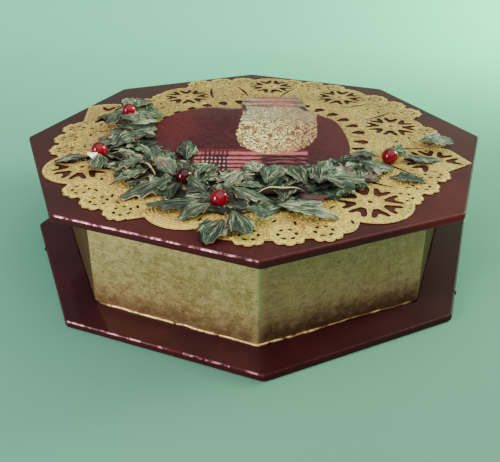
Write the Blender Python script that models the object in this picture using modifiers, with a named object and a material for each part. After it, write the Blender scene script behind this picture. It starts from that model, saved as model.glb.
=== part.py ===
"""Eight-sided keepsake box with a lift-off lid, decorated for Christmas.

Metres, +Z up. The origin is under the middle of the base board, one corner of the box points
along -Y, and the box stands on its base board. The lid carries a paper lace doily, a printed
card, a garland card, curled holly leaves cut from card, and bead berries.
"""
import math

import bmesh
import bpy
import numpy as np
from mathutils import Matrix, Vector, geometry

# Boards, tray and lid
SIDES = 8
LID_CORNER_RADIUS = 0.115
BASE_MARGIN = 0.0028
BASE_TURN = 1.0
BOARD_THICKNESS = 0.0037
BOARD_CORNER_ROUND = 0.003
BOARD_ARRIS_ROUND = 0.0008
TRAY_INSET = 0.0123
TRAY_LEAN = 0.0020
TRAY_HEIGHT = 0.0457
TRAY_WALL = 0.0025
TRAY_FLOOR = 0.0015
TRAY_CORNER_ROUND = 0.0012
PLUG_DEPTH = 0.0020
PLUG_CLEARANCE = 0.0010
GAP = 0.0003

# Paper lace
DOILY_MARGIN = 0.0042
DOILY_THICKNESS = 0.0003
ROSETTE_RADIUS = 0.0175
PETALS = 8
PETAL_NEAR = 0.0048
PETAL_FAR = 0.0122
PETAL_NOTCH = 0.0088
PETAL_HALF_ANGLE = 0.32
ROSETTE_EYE = 0.0011
SCALLOPS = 3
SCALLOP_RADIUS = 0.0074
SCALLOP_SPACING = 0.0140
SCALLOP_NOTCH = 0.0030
EYELET_RADIUS = 0.0012
EYELET_RING_RADIUS = 0.0036
EYELET_TURNS = (-0.8, 0.8)
SLIT_LENGTH = 0.0130
SLIT_WIDTH = 0.0014
SLIT_SHARE = 0.735
SLIT_TILT = 0.25
WEDGE_SHARE = 0.588
WEDGE_RADIUS = 0.0032
LACE_MARGIN = 0.0008
WEB_SHARE = 0.80
WEB_SHOULDER = 0.25
RIM_STEPS = 720
RIM_PLAIN_STEP = 5
RIM_BEND = 0.0003

# Printed card and garland card
CARD_WIDTH = 0.1010
CARD_THICKNESS = 0.0005
GARLAND_THICKNESS = 0.0004
GARLAND_SPINE = 0.0020
GARLAND_SPINE_SPACING = 0.0085
GARLAND_LEAN = 0.6

# Holly leaves and berries
LEAF_THICKNESS = 0.0004
LEAF_STALK = 0.0010
LEAF_SPINES = 4
LEAF_BAY = 0.70
LEAF_FULLNESS = 0.85
LEAF_SWEEP = 0.05
LEAF_FOLD = 17.0
LEAF_PITCHES = (-16, -12, -8, -4, 0, 4, 8, 12, 16)
BEAD_DIAMETER = 0.0074
BEAD_FLAT = 0.0015
BEAD_SEGMENTS = 12
BEAD_RINGS = 8
MM = 0.001

# Heights of the stack
TRAY_BOTTOM = BOARD_THICKNESS + GAP
TRAY_TOP = TRAY_BOTTOM + TRAY_HEIGHT
LID_BOTTOM = TRAY_TOP + GAP
LID_TOP = LID_BOTTOM + BOARD_THICKNESS
DOILY_BOTTOM = LID_TOP + GAP
DOILY_TOP = DOILY_BOTTOM + DOILY_THICKNESS
CARD_BOTTOM = DOILY_TOP + GAP
CARD_TOP = CARD_BOTTOM + CARD_THICKNESS
GARLAND_BOTTOM = CARD_TOP + GAP

HALF_SIDE_ANGLE = math.pi / SIDES
LID_FLAT_RADIUS = LID_CORNER_RADIUS * math.cos(HALF_SIDE_ANGLE)
DOILY_RADIUS = LID_FLAT_RADIUS - DOILY_MARGIN
PLACE_UNIT = LID_CORNER_RADIUS / 100

# Rosettes of the lace, anticlockwise: angle in degrees, distance of the centre, reach of the fan of
# scallops that follows, and the straight trims as outward angle and distance. Distances are shares
# of the doily's radius. The rosette under the thickest holly has no openings.
ROSETTES = (
    (-201, 0.865, 0.985, ((186, 0.876), (118, 0.838))),
    (-154, 0.855, 1.010, ()),
    (-110, 0.800, 1.035, ()),
    (-58, 0.840, 0.965, ()),
    (-22, 0.865, 0.930, ((18, 0.818), (-57, 0.819))),
    (10, 0.720, 0.985, ()),
    (50, 0.795, 1.000, ()),
    (82, 0.835, 1.010, ()),
    (122, 0.735, 0.870, ()),
)
PLAIN_ROSETTE = -110

# Outline of the printed card, as shares of its width from the middle of the lid: a sack with its
# gathered neck at the top. The garland covers the lower edge.
CARD_OUTLINE = (
    (-0.50, -0.36), (-0.515, -0.05), (-0.50, 0.18), (-0.42, 0.36), (-0.27, 0.45), (-0.09, 0.465),
    (-0.075, 0.60), (0.01, 0.655), (0.20, 0.655), (0.27, 0.58), (0.29, 0.46), (0.39, 0.34),
    (0.465, 0.12), (0.49, -0.25), (0.40, -0.43), (0.0, -0.50), (-0.35, -0.45),
)
CARD_ROUNDING_STEPS = 2

# Middle line of the garland card, each point with half the card's width there, in hundredths of the
# lid's corner radius.
GARLAND = (
    (-60.5, 48.7, 4.3), (-56.5, 27.2, 9.6), (-53.5, 9.0, 7.8),
    (-56.0, -9.0, 11.3), (-49.9, -24.2, 12.2), (-40.9, -37.8, 13.0),
    (-27.2, -48.4, 14.8), (-12.1, -57.4, 16.5), (6.1, -55.7, 15.7),
    (24.2, -48.4, 13.9), (39.3, -37.4, 11.3), (54.4, -24.2, 6.1),
    (68.1, -15.1, 4.3), (80.9, -7.0, 3.5),
)

# Holly leaves in the order they are laid: place of the stalk in hundredths of the lid's corner
# radius, heading in degrees, length and width in millimetres, rise of the midrib in degrees and
# fold direction.
LEAVES = (
    (-60.9, 29.9, 97, 19, 9.0, 10, 1), (-57.4, 29.2, 62, 13, 10.0, 7, 1),
    (-63.5, 23.8, 192, 13, 10.0, 5, -1), (-55.7, 23.0, -12, 16, 13.0, 6, -1),
    (-59.0, 20.7, -85, 17, 10.0, 5, 1), (-61.4, 15.7, -125, 12, 9.0, 5, -1),
    (-52.2, 6.1, 122, 15, 12.0, 6, 1), (-54.8, -7.0, 48, 18, 13.0, 7, -1),
    (-59.7, -19.1, 48, 20, 15.0, 7, 1),
    (-62.6, -27.3, -82, 14, 11.0, 5, -1), (-67.5, -24.3, -152, 16, 9.0, 6, 1),
    (-59.5, -25.2, -28, 16, 12.0, 6, 1),
    (-40.9, -43.5, -153, 15, 10.0, 4, 1), (-43.0, -39.1, 166, 14, 12.0, 6, -1),
    (-31.1, -31.7, 163, 16, 12.0, 7, -1), (-32.6, -39.6, 122, 18, 13.0, 6, 1),
    (-27.4, -30.4, 94, 23, 11.5, 14, -1),
    (-30.6, -50.1, -147, 25, 14.0, 10, -1), (-24.0, -45.2, 55, 13, 12.0, 6, 1),
    (-30.4, -45.6, 135, 14, 12.0, 6, 1), (-17.8, -59.1, 132, 12, 12.0, 8, -1),
    (-17.4, -66.6, -173, 24, 11.0, 6, -1), (-16.3, -69.0, -138, 15, 11.0, 6, 1),
    (-12.0, -76.5, -106, 18, 14.0, 4, 1), (-8.3, -76.9, -70, 16, 12.5, 5, -1),
    (-10.3, -69.2, -50, 12, 11.0, 6, 1), (-9.0, -66.4, -12, 16, 9.0, 5, -1),
    (-12.7, -61.4, 96, 9, 9.0, 9, 1), (-0.9, -53.5, 155, 22, 14.0, 8, -1),
    (-4.8, -52.2, -128, 12, 11.0, 8, 1),
    (6.1, -76.5, -172, 12, 11.0, 4, -1), (6.6, -70.0, 6, 18, 11.0, 7, -1),
    (9.6, -73.9, -8, 20, 9.0, 5, 1), (9.0, -66.4, 84, 12, 10.0, 9, 1),
    (0.7, -46.5, 100, 18, 14.0, 9, -1), (17.9, -53.0, 111, 19, 12.0, 11, 1),
    (3.0, -53.0, 62, 15, 13.0, 7, 1),
    (21.9, -56.9, 74, 20, 14.0, 8, -1), (24.0, -56.5, 34, 20, 13.0, 7, 1),
    (23.5, -59.5, -6, 16, 12.0, 6, -1),
    (39.9, -35.7, -22, 16, 14.0, 6, -1), (50.3, -44.3, -20, 15, 9.0, 5, 1),
    (49.5, -28.3, 167, 14, 9.0, 8, 1), (55.3, -26.0, 62, 12, 11.0, 10, -1),
    (57.6, -29.4, 3, 20, 10.0, 6, -1),
    (69.9, -12.0, 10, 18, 12.0, 8, 1), (71.3, -15.7, -20, 13, 8.0, 5, -1),
)

# Places of the berries in hundredths of the lid's corner radius.
BERRIES = (
    (-59.6, 25.4),
    (-63.4, -23.1),
    (-26.7, -48.3),
    (-13.2, -66.0),
    (53.2, -30.1),
)

# Fineness of the height map on which the leaves and beads are laid
MAP_CELL = 0.0004
MAP_MARGIN = 0.02


def clear_scene():
    for item in list(bpy.data.objects):
        bpy.data.objects.remove(item)


def new_collection(name):
    collection = bpy.data.collections.new(name)
    bpy.context.scene.collection.children.link(collection)
    return collection


def new_material(name, color, roughness, metallic=0.0):
    material = bpy.data.materials.new(name)
    material.use_nodes = True
    shader = material.node_tree.nodes["Principled BSDF"]
    shader.inputs["Base Color"].default_value = (*color, 1.0)
    shader.inputs["Roughness"].default_value = roughness
    shader.inputs["Metallic"].default_value = metallic
    return material


def new_object(name, data, material, collection):
    item = bpy.data.objects.new(name, data)
    if material:
        data.materials.append(material)
    collection.objects.link(item)
    return item


def prism_mesh(name, corner_radius, bottom, top, corner_round=0.0, arris_round=0.0, lean=0.0):
    """An eight-sided block with a corner on each axis, softened corners and arrises, and sides that
    may lean in towards the top."""
    block = bmesh.new()
    bmesh.ops.create_cone(block, cap_ends=True, segments=SIDES, radius1=corner_radius,
                          radius2=corner_radius - lean, depth=top - bottom)
    bmesh.ops.translate(block, verts=block.verts, vec=(0, 0, (top + bottom) / 2))
    if corner_round:
        uprights = [edge for edge in block.edges if abs(edge.verts[0].co.z - edge.verts[1].co.z) > GAP]
        bmesh.ops.bevel(block, geom=uprights, offset=corner_round * math.tan(HALF_SIDE_ANGLE),
                        offset_type="OFFSET", segments=2, profile=0.5, affect="EDGES")
    if arris_round:
        caps = [face for face in block.faces if abs(face.normal.z) > 0.5]
        arrises = list({edge for face in caps for edge in face.edges})
        bmesh.ops.bevel(block, geom=arrises, offset=arris_round, offset_type="OFFSET", segments=2,
                        profile=0.5, affect="EDGES")
    mesh = bpy.data.meshes.new(name)
    block.to_mesh(mesh)
    block.free()
    return mesh


def new_cutter(name, mesh, collection):
    cutter = new_object(name, mesh, None, collection)
    cutter.hide_render = True
    cutter.display_type = "WIRE"
    return cutter


def add_boolean(item, cutter, operation):
    cut = item.modifiers.new(operation.title(), "BOOLEAN")
    cut.operation = operation
    cut.object = cutter


def corner_radius_inset(inset):
    """Corner radius of an eight-sided outline set in from the lid's edge by a distance."""
    return (LID_FLAT_RADIUS - inset) / math.cos(HALF_SIDE_ANGLE)


def make_base_board(material, collection):
    """The base board stands out past the lid all round and is glued on a little askew."""
    mesh = prism_mesh("base_board", corner_radius_inset(-BASE_MARGIN), 0, BOARD_THICKNESS,
                      BOARD_CORNER_ROUND, BOARD_ARRIS_ROUND)
    board = new_object("base_board", mesh, material, collection)
    board.rotation_euler.z = math.radians(BASE_TURN)
    return board


def make_tray(material, collection, cutters):
    """The walls lean in towards the lid on the outside and are upright on the inside."""
    body = prism_mesh("tray", corner_radius_inset(TRAY_INSET), TRAY_BOTTOM, TRAY_TOP,
                      TRAY_CORNER_ROUND, lean=TRAY_LEAN)
    tray = new_object("tray", body, material, collection)
    hollow = prism_mesh("tray_hollow", corner_radius_inset(TRAY_INSET + TRAY_LEAN + TRAY_WALL),
                        TRAY_BOTTOM + TRAY_FLOOR, TRAY_TOP + TRAY_WALL)
    add_boolean(tray, new_cutter("tray_hollow", hollow, cutters), "DIFFERENCE")
    return tray


def make_lid(material, collection, cutters):
    board = prism_mesh("lid", LID_CORNER_RADIUS, LID_BOTTOM, LID_TOP,
                       BOARD_CORNER_ROUND, BOARD_ARRIS_ROUND)
    lid = new_object("lid", board, material, collection)
    plug_radius = corner_radius_inset(TRAY_INSET + TRAY_LEAN + TRAY_WALL + PLUG_CLEARANCE)
    plug = prism_mesh("lid_plug", plug_radius, LID_BOTTOM - PLUG_DEPTH,
                      LID_BOTTOM + BOARD_THICKNESS / 2)
    add_boolean(lid, new_cutter("lid_plug", plug, cutters), "UNION")
    return lid


def polar(distance, angle):
    return Vector((distance * math.cos(angle), distance * math.sin(angle)))


def fan_angle(number, place):
    """Angle at a share of the way from one rosette to the next."""
    angle = ROSETTES[number][0]
    gap = (ROSETTES[(number + 1) % len(ROSETTES)][0] - angle) % 360
    return math.radians(angle + gap * place)


def fan_scallops(number):
    """Centres of the scallops in the fan after a rosette."""
    distance = ROSETTES[number][2] * DOILY_RADIUS - SCALLOP_RADIUS
    turn = SCALLOP_SPACING / distance
    middle = fan_angle(number, 0.5)
    return [polar(distance, middle + turn * (step - (SCALLOPS - 1) / 2)) for step in range(SCALLOPS)]


def lace_lobes():
    """Round lobes of the lace's rim: centre, radius and straight trims as normal and distance."""
    lobes = []
    for number, (angle, share, _, trims) in enumerate(ROSETTES):
        lines = [(polar(1, math.radians(turn)), reach * DOILY_RADIUS) for turn, reach in trims]
        lobes.append((polar(share * DOILY_RADIUS, math.radians(angle)), ROSETTE_RADIUS, lines))
        lobes += [(centre, SCALLOP_RADIUS, []) for centre in fan_scallops(number)]
    return lobes


def lobe_reach(lobe, angle):
    """Distance from the lid's middle to the far rim of a lobe along an angle, or zero."""
    centre, radius, trims = lobe
    direction = polar(1, angle)
    along = centre.dot(direction)
    across = centre.length_squared - along * along
    if across >= radius * radius or along < 0:
        return 0.0
    reach = along + math.sqrt(radius * radius - across)
    for normal, distance in trims:
        facing = normal.dot(direction)
        if facing > 0:
            reach = min(reach, distance / facing)
    return reach


def web_reach(angle):
    """Distance to the plain web along an angle: just inside the scallops, less beside a rosette."""
    for number, (start, _, fan_reach, _) in enumerate(ROSETTES):
        gap = (ROSETTES[(number + 1) % len(ROSETTES)][0] - start) % 360
        place = (math.degrees(angle) - start) % 360 / gap
        if place < 1:
            ramp = min(1.0, min(place, 1 - place) / WEB_SHOULDER)
            full = fan_reach * DOILY_RADIUS - SCALLOP_NOTCH
            low = WEB_SHARE * DOILY_RADIUS
            return low + (full - low) * ramp * ramp * (3 - 2 * ramp)
    return WEB_SHARE * DOILY_RADIUS


def lace_radius(lobes, angle):
    return max([web_reach(angle)] + [lobe_reach(lobe, angle) for lobe in lobes])


def lace_outline(lobes):
    """Points of the scalloped rim, denser where a lobe gives way to the next one."""
    radii = [lace_radius(lobes, math.tau * step / RIM_STEPS) for step in range(RIM_STEPS)]
    points = []
    for step, radius in enumerate(radii):
        bend = abs(radii[step - 1] + radii[(step + 1) % RIM_STEPS] - 2 * radius)
        if step % RIM_PLAIN_STEP == 0 or bend > RIM_BEND:
            points.append(polar(radius, math.tau * step / RIM_STEPS))
    return points


def petal_hole(centre, angle):
    """A V-shaped opening of a rosette, its point towards the middle of the rosette."""
    shape = ((PETAL_NEAR, 0), (PETAL_FAR, -PETAL_HALF_ANGLE), (PETAL_NOTCH, 0),
             (PETAL_FAR, PETAL_HALF_ANGLE))
    return [centre + polar(distance, angle + turn) for distance, turn in shape]


def round_hole(centre, radius, corners, turn=0.0):
    return [centre + polar(radius, turn + math.tau * step / corners) for step in range(corners)]


def slit_hole(centre, angle):
    """A long thin opening that points along an angle."""
    along = polar(SLIT_LENGTH / 2, angle)
    across = polar(SLIT_WIDTH / 2, angle + math.pi / 2)
    return [centre + along, centre + across, centre - along, centre - across]


def lace_holes(rim):
    """Openings of the lace, less those that come too near the rim or one another."""
    holes = []
    for number, (angle, share, _, _) in enumerate(ROSETTES):
        centre = polar(share * DOILY_RADIUS, math.radians(angle))
        if angle != PLAIN_ROSETTE:
            holes.append(round_hole(centre, ROSETTE_EYE, 4))
            for petal in range(PETALS):
                holes.append(petal_hole(centre, math.radians(angle) + math.tau * (petal + 0.5) / PETALS))
        for centre in fan_scallops(number):
            outward = math.atan2(centre.y, centre.x)
            for turn in EYELET_TURNS:
                eyelet = centre + polar(EYELET_RING_RADIUS, outward + turn)
                holes.append(round_hole(eyelet, EYELET_RADIUS, 3, outward))
        middle = fan_angle(number, 0.5)
        if math.sin(middle) > 0:
            for side in (-1, 1):
                outward = middle + side * SLIT_TILT / 2
                holes.append(slit_hole(polar(SLIT_SHARE * DOILY_RADIUS, outward), outward - side * SLIT_TILT))
            wedge = polar(WEDGE_SHARE * DOILY_RADIUS, middle)
            holes.append(round_hole(wedge, WEDGE_RADIUS, 3, middle + math.pi))
    kept = [rim]
    for hole in holes:
        if is_inside(hole[0], rim) and all(is_clear(hole, other) for other in kept):
            kept.append(hole)
    return kept[1:]


def is_inside(point, outline):
    inside = False
    for start, end in zip(outline, outline[1:] + outline[:1]):
        if (start.y > point.y) != (end.y > point.y):
            if point.x < start.x + (point.y - start.y) / (end.y - start.y) * (end.x - start.x):
                inside = not inside
    return inside


def edge_distance(point, start, end):
    edge = end - start
    share = max(0.0, min(1.0, (point - start).dot(edge) / edge.length_squared))
    return (point - start - edge * share).length


def is_clear(hole, outline):
    """Whether a hole keeps the lace's least web from another outline."""
    hole_edges = list(zip(hole, hole[1:] + hole[:1]))
    for start, end in zip(outline, outline[1:] + outline[:1]):
        if any(edge_distance(point, start, end) < LACE_MARGIN for point in hole):
            return False
        if any(edge_distance(start, *edge) < LACE_MARGIN for edge in hole_edges):
            return False
        if any(geometry.intersect_line_line_2d(start, end, *edge) for edge in hole_edges):
            return False
    return True


def flat_piece(name, outlines, bottom, thickness, material, collection):
    """A flat cut-out: a filled 2D curve whose first outline is the rim and the rest are holes."""
    curve = bpy.data.curves.new(name, "CURVE")
    curve.dimensions = "2D"
    curve.fill_mode = "BOTH"
    curve.extrude = thickness / 2
    for outline in outlines:
        spline = curve.splines.new("POLY")
        spline.points.add(len(outline) - 1)
        for knot, point in zip(spline.points, outline):
            knot.co = (point[0], point[1], 0, 1)
        spline.use_cyclic_u = True
    piece = new_object(name, curve, material, collection)
    piece.location.z = bottom + thickness / 2
    return piece


def smooth_closed(points, passes):
    """Round off a closed outline by cutting its corners, one pass after another."""
    for _ in range(passes):
        rounded = []
        for number, point in enumerate(points):
            following = points[(number + 1) % len(points)]
            rounded += [point.lerp(following, 0.25), point.lerp(following, 0.75)]
        points = rounded
    return points


def card_outline():
    corners = [Vector(corner) * CARD_WIDTH for corner in CARD_OUTLINE]
    return smooth_closed(corners, CARD_ROUNDING_STEPS)


def garland_side(points, side):
    """One edge of the garland card, a row of leaf spines along the middle line."""
    places = [Vector(point[:2]) for point in points]
    nearby = zip([places[0]] + places, places[1:] + [places[-1]])
    outward = [side * (after - before).orthogonal().normalized() for before, after in nearby]
    edge = []
    for number in range(len(points) - 1):
        start, end = places[number:number + 2]
        start_half, end_half = points[number][2], points[number + 1][2]
        count = max(1, round((end - start).length / GARLAND_SPINE_SPACING))
        for step in range(count):
            for share, spine in ((step / count, -1), ((step + GARLAND_LEAN) / count, 1)):
                reach = start_half + (end_half - start_half) * share + spine * GARLAND_SPINE
                direction = outward[number].lerp(outward[number + 1], share).normalized()
                edge.append(start.lerp(end, share) + direction * reach)
    return edge


def garland_outline():
    points = [[value * PLACE_UNIT for value in point] for point in GARLAND]
    return garland_side(points, 1) + garland_side(points, -1)[::-1]


def leaf_mesh(name, length, width, rise, fold):
    """An open holly leaf along +X: spiny rim, midrib that rises and arches back, folded halves."""
    stations = 2 * LEAF_SPINES + 1
    grid = bmesh.new()
    rows = []
    turn = math.radians(rise) * 2
    for station in range(stations):
        share = station / (stations - 1)
        slope = turn / 2 - turn * share
        along = length * math.sin(turn / 2) / turn - length * math.sin(slope) / turn
        height = length * (math.cos(slope) - math.cos(turn / 2)) / turn
        swell = math.sin(math.pi * share ** LEAF_FULLNESS)
        is_spine = station % 2 == 1
        half = max(LEAF_STALK / 2, width / 2 * swell * (1.0 if is_spine else LEAF_BAY))
        sweep = LEAF_SWEEP * length if is_spine else 0.0
        lift = math.radians(LEAF_FOLD) * fold
        across = half * math.cos(lift)
        edge_height = height + half * math.sin(lift)
        left = grid.verts.new((along + sweep, across, edge_height))
        middle = grid.verts.new((along, 0, height))
        right = grid.verts.new((along + sweep, -across, edge_height))
        rows.append((left, middle, right))
    for near, far in zip(rows, rows[1:]):
        for side in (0, 1):
            grid.faces.new((near[side], near[side + 1], far[side + 1], far[side]))
    mesh = bpy.data.meshes.new(name)
    grid.to_mesh(mesh)
    grid.free()
    return mesh


def make_leaf(number, leaf, material, collection):
    name = f"leaf_{number:02d}"
    place_x, place_y, heading, length, width, rise, fold = leaf
    mesh = leaf_mesh(name, length * MM, width * MM, rise, fold)
    leaf_object = new_object(name, mesh, material, collection)
    thicken = leaf_object.modifiers.new("Card", "SOLIDIFY")
    thicken.thickness = LEAF_THICKNESS
    thicken.offset = 0
    leaf_object.rotation_euler.z = math.radians(heading)
    leaf_object.location = (place_x * PLACE_UNIT, place_y * PLACE_UNIT, 0)
    return leaf_object


def make_bead(number, place, material, collection):
    """A round bead with a flat back."""
    ball = bmesh.new()
    bmesh.ops.create_uvsphere(ball, u_segments=BEAD_SEGMENTS, v_segments=BEAD_RINGS,
                              radius=BEAD_DIAMETER / 2)
    cut = bmesh.ops.bisect_plane(ball, geom=ball.verts[:] + ball.edges[:] + ball.faces[:],
                                 plane_co=(0, 0, -BEAD_FLAT), plane_no=(0, 0, 1), clear_inner=True)
    bmesh.ops.contextual_create(ball, geom=[part for part in cut["geom_cut"]
                                            if isinstance(part, bmesh.types.BMEdge)])
    bmesh.ops.recalc_face_normals(ball, faces=ball.faces)
    mesh = bpy.data.meshes.new(f"berry_{number}")
    ball.to_mesh(mesh)
    ball.free()
    bead = new_object(mesh.name, mesh, material, collection)
    bead.location = (place[0] * PLACE_UNIT, place[1] * PLACE_UNIT, 0)
    return bead


class HeightMap:
    """Top of everything laid on the lid so far, on a square grid."""

    def __init__(self):
        self.reach = LID_CORNER_RADIUS + MAP_MARGIN
        self.count = int(2 * self.reach / MAP_CELL) + 1
        self.top = np.full((self.count, self.count), LID_TOP)

    def cells(self, points):
        places = ((points[:, :2] + self.reach) / MAP_CELL).astype(int)
        return np.clip(places, 1, self.count - 2)

    def add(self, points):
        columns = self.cells(points)
        np.maximum.at(self.top, (columns[:, 0], columns[:, 1]), points[:, 2])

    def add_flat(self, outline, height):
        """Raise every cell within an outline to a height."""
        centres = (np.arange(self.count) + 0.5) * MAP_CELL - self.reach
        across, along = np.meshgrid(centres, centres, indexing="ij")
        inside = np.zeros(across.shape, dtype=bool)
        for start, end in zip(outline, outline[1:] + outline[:1]):
            if start.y != end.y:
                spans = (start.y > along) != (end.y > along)
                crossing = start.x + (along - start.y) / (end.y - start.y) * (end.x - start.x)
                inside ^= spans & (across < crossing)
        self.top[inside] = np.maximum(self.top[inside], height)

    def rest_height(self, points):
        """How far to lift the points so that they clear what lies below and beside them."""
        columns = self.cells(points)
        below = np.full(len(points), LID_TOP)
        for across in (-1, 0, 1):
            for along in (-1, 0, 1):
                below = np.maximum(below, self.top[columns[:, 0] + across, columns[:, 1] + along])
        return float(np.max(below + GAP - points[:, 2]))


def surface_points(item, graph):
    """Points spread over an object's evaluated surface, closer together than a map cell."""
    shape = item.evaluated_get(graph)
    mesh = shape.to_mesh()
    mesh.calc_loop_triangles()
    corners = np.array([item.matrix_world @ vertex.co for vertex in mesh.vertices])
    triangles = corners[np.array([triangle.vertices[:] for triangle in mesh.loop_triangles])]
    shape.to_mesh_clear()
    longest = np.max(np.linalg.norm(triangles - np.roll(triangles, 1, axis=1), axis=2))
    steps = int(longest / MAP_CELL) + 1
    first, second = np.meshgrid(np.arange(steps + 1), np.arange(steps + 1))
    inside = first + second <= steps
    first = first[inside] / steps
    second = second[inside] / steps
    weights = np.stack([1 - first - second, first, second], axis=1)
    return np.einsum("pw,twc->tpc", weights, triangles).reshape(-1, 3)


def lay_down(piece, pitches, height_map, graph):
    """Lower a piece onto what lies on the lid, at the pitch that brings its middle lowest."""
    points = surface_points(piece, graph)
    base = np.array(piece.location)
    best = None
    for pitch in pitches:
        tilt = Matrix.Rotation(-math.radians(pitch), 3, "Y")
        heading = piece.rotation_euler.to_matrix()
        turned = (points - base) @ np.array(heading @ tilt @ heading.transposed()).T + base
        lift = height_map.rest_height(turned)
        turned[:, 2] += lift
        middle = turned[:, 2].mean()
        if best is None or middle < best[0]:
            best = (middle, pitch, lift, turned)
    piece.rotation_euler.y = -math.radians(best[1])
    piece.location.z += best[2]
    height_map.add(best[3])


def main():
    clear_scene()
    box = new_collection("christmas_box")
    cutters = new_collection("cutters")
    lacquer = new_material("burgundy_lacquer", (0.075, 0.012, 0.014), 0.22)
    gold = new_material("gold_paint", (0.42, 0.36, 0.13), 0.42, 0.8)
    lace = new_material("gold_paper", (0.50, 0.38, 0.14), 0.6, 0.2)
    print_card = new_material("printed_card", (0.16, 0.03, 0.035), 0.7)
    holly = new_material("printed_holly", (0.06, 0.12, 0.08), 0.5)
    bead_red = new_material("red_bead", (0.42, 0.01, 0.02), 0.12)

    make_base_board(lacquer, box)
    make_tray(gold, box, cutters)
    make_lid(lacquer, box, cutters)

    rim = lace_outline(lace_lobes())
    card = card_outline()
    garland = garland_outline()
    flat_piece("doily", [rim] + lace_holes(rim), DOILY_BOTTOM, DOILY_THICKNESS, lace, box)
    flat_piece("picture_card", [card], CARD_BOTTOM, CARD_THICKNESS, print_card, box)
    flat_piece("garland_card", [garland], GARLAND_BOTTOM, GARLAND_THICKNESS, holly, box)

    leaves = [make_leaf(number + 1, leaf, holly, box) for number, leaf in enumerate(LEAVES)]
    beads = [make_bead(number + 1, place, bead_red, box) for number, place in enumerate(BERRIES)]

    bpy.context.view_layer.update()
    graph = bpy.context.evaluated_depsgraph_get()
    height_map = HeightMap()
    height_map.add_flat(rim, DOILY_TOP)
    height_map.add_flat(card, CARD_TOP)
    height_map.add_flat(garland, GARLAND_BOTTOM + GARLAND_THICKNESS)
    for bead in beads:
        lay_down(bead, (0,), height_map, graph)
    for leaf in leaves:
        lay_down(leaf, LEAF_PITCHES, height_map, graph)


main()
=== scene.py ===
"""Looks of an eight-sided Christmas keepsake box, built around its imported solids.

Metres, +Z up, in the frame of the solids. The file is laid out as an add-on and is run as a script.
"""
import cmath
import math

import bmesh
import bpy
import numpy as np
from bpy.props import FloatProperty, FloatVectorProperty, IntProperty, PointerProperty
from mathutils import Matrix, Vector


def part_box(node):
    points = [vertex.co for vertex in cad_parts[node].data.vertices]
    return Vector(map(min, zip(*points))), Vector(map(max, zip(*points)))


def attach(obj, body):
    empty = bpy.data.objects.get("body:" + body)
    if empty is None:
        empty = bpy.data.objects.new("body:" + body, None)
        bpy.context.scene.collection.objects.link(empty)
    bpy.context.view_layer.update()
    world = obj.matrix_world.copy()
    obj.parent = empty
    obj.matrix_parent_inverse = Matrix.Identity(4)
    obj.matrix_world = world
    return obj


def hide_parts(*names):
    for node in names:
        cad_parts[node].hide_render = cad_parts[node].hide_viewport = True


bl_info = {
    "name": "Christmas keepsake box",
    "version": (1, 0, 0),
    "blender": (4, 5, 0),
    "location": "3D View > Sidebar > Keepsake Box",
    "description": "Lacquer, gold paint, paper lace, holly and bead berries for a keepsake box",
    "category": "Object",
}

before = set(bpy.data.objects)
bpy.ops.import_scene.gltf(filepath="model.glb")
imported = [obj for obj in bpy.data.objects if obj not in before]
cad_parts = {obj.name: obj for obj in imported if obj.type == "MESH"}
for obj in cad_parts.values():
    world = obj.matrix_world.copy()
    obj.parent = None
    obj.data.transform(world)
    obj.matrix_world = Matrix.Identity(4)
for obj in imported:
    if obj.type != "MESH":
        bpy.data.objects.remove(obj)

MM = 0.001
SIDES = 8
HALF_SIDE_ANGLE = math.pi / SIDES
BODY = "root"

# Camera of the photograph, fitted to the corners of the boards
PHOTO_WIDTH = 500
CAMERA_PLACE = (-0.00532, -0.27708, 0.16232)
CAMERA_PITCH = 30.748
CAMERA_YAW = 0.651
CAMERA_ROLL = 0.182
CAMERA_FOCAL_PIXELS = 575.0
SENSOR_WIDTH = 36.0

# Boards and tray
BASE_TURN = 1.0
BOARD_CORNER_ROUND = 0.0030
BOARD_ARRIS_ROUND = 0.0010
BOARD_ROUND_STEPS = 5
SHARP_ANGLE = 50.0
BOARD_GAP = 0.0003
PLUG_REACH = 0.0020
FOOT_BEAD_STEP = 0.0009
FOOT_BEAD_RISE = 0.0002
FOOT_BEAD_WANDER = 0.0014
# Points nearer than this are one point
WELD = 0.000001

# Rosettes of the lace, anticlockwise: angle in degrees, distance of the centre, reach of the fan of
# scallops that follows, and the straight trims as outward angle and distance. Distances are shares
# of the lace's radius. Petals, knobs, slits and chinks turn in radians, and what is left in degrees.
ROSETTES = (
    (-201, 0.865, 0.985, ((186, 0.876), (118, 0.838))),
    (-154, 0.855, 1.010, ()),
    (-110, 0.800, 1.035, ()),
    (-58, 0.840, 0.965, ()),
    (-22, 0.865, 0.930, ((18, 0.818), (-57, 0.819))),
    (10, 0.720, 0.985, ()),
    (50, 0.795, 1.000, ()),
    (82, 0.835, 1.010, ()),
    (122, 0.735, 0.870, ()),
)
LACE_MARGIN = 0.0042
PLAIN_ROSETTE = 2
PETALS = 8
# Corners of a petal: millimetres from the rosette's centre, and turn
PETAL_SHAPE = ((4.0, 0.0), (12.6, -0.36), (13.8, -0.19), (9.6, 0.0), (13.8, 0.19), (12.6, 0.36))
ROSETTE_EYE = 0.0011
SCALLOPS = 3
SCALLOP_SPACING = 0.0140
SCALLOP_NOTCH = 0.0034
KNOBS = 5
KNOB_TURN = 0.62
KNOB_RING = 0.0057
KNOB_RADIUS = 0.0021
SCALLOP_CORE = 0.0066
EYELETS = 6
EYELET_RING = 0.0034
EYELET_LENGTH = 0.0023
EYELET_WIDTH = 0.0015
SLIT_LENGTH = 0.0200
SLIT_WIDTH = 0.0018
SLIT_SHARE = 0.735
SLIT_TILT = 0.25
SLIT_BOW = 0.0008
WINDOW_SHARE = 0.512
WINDOW_TURN = 10.5
FIRST_WINDOW = 4
WINDOW_LENGTH = 0.0096
WINDOW_WIDTH = 0.0076
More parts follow.
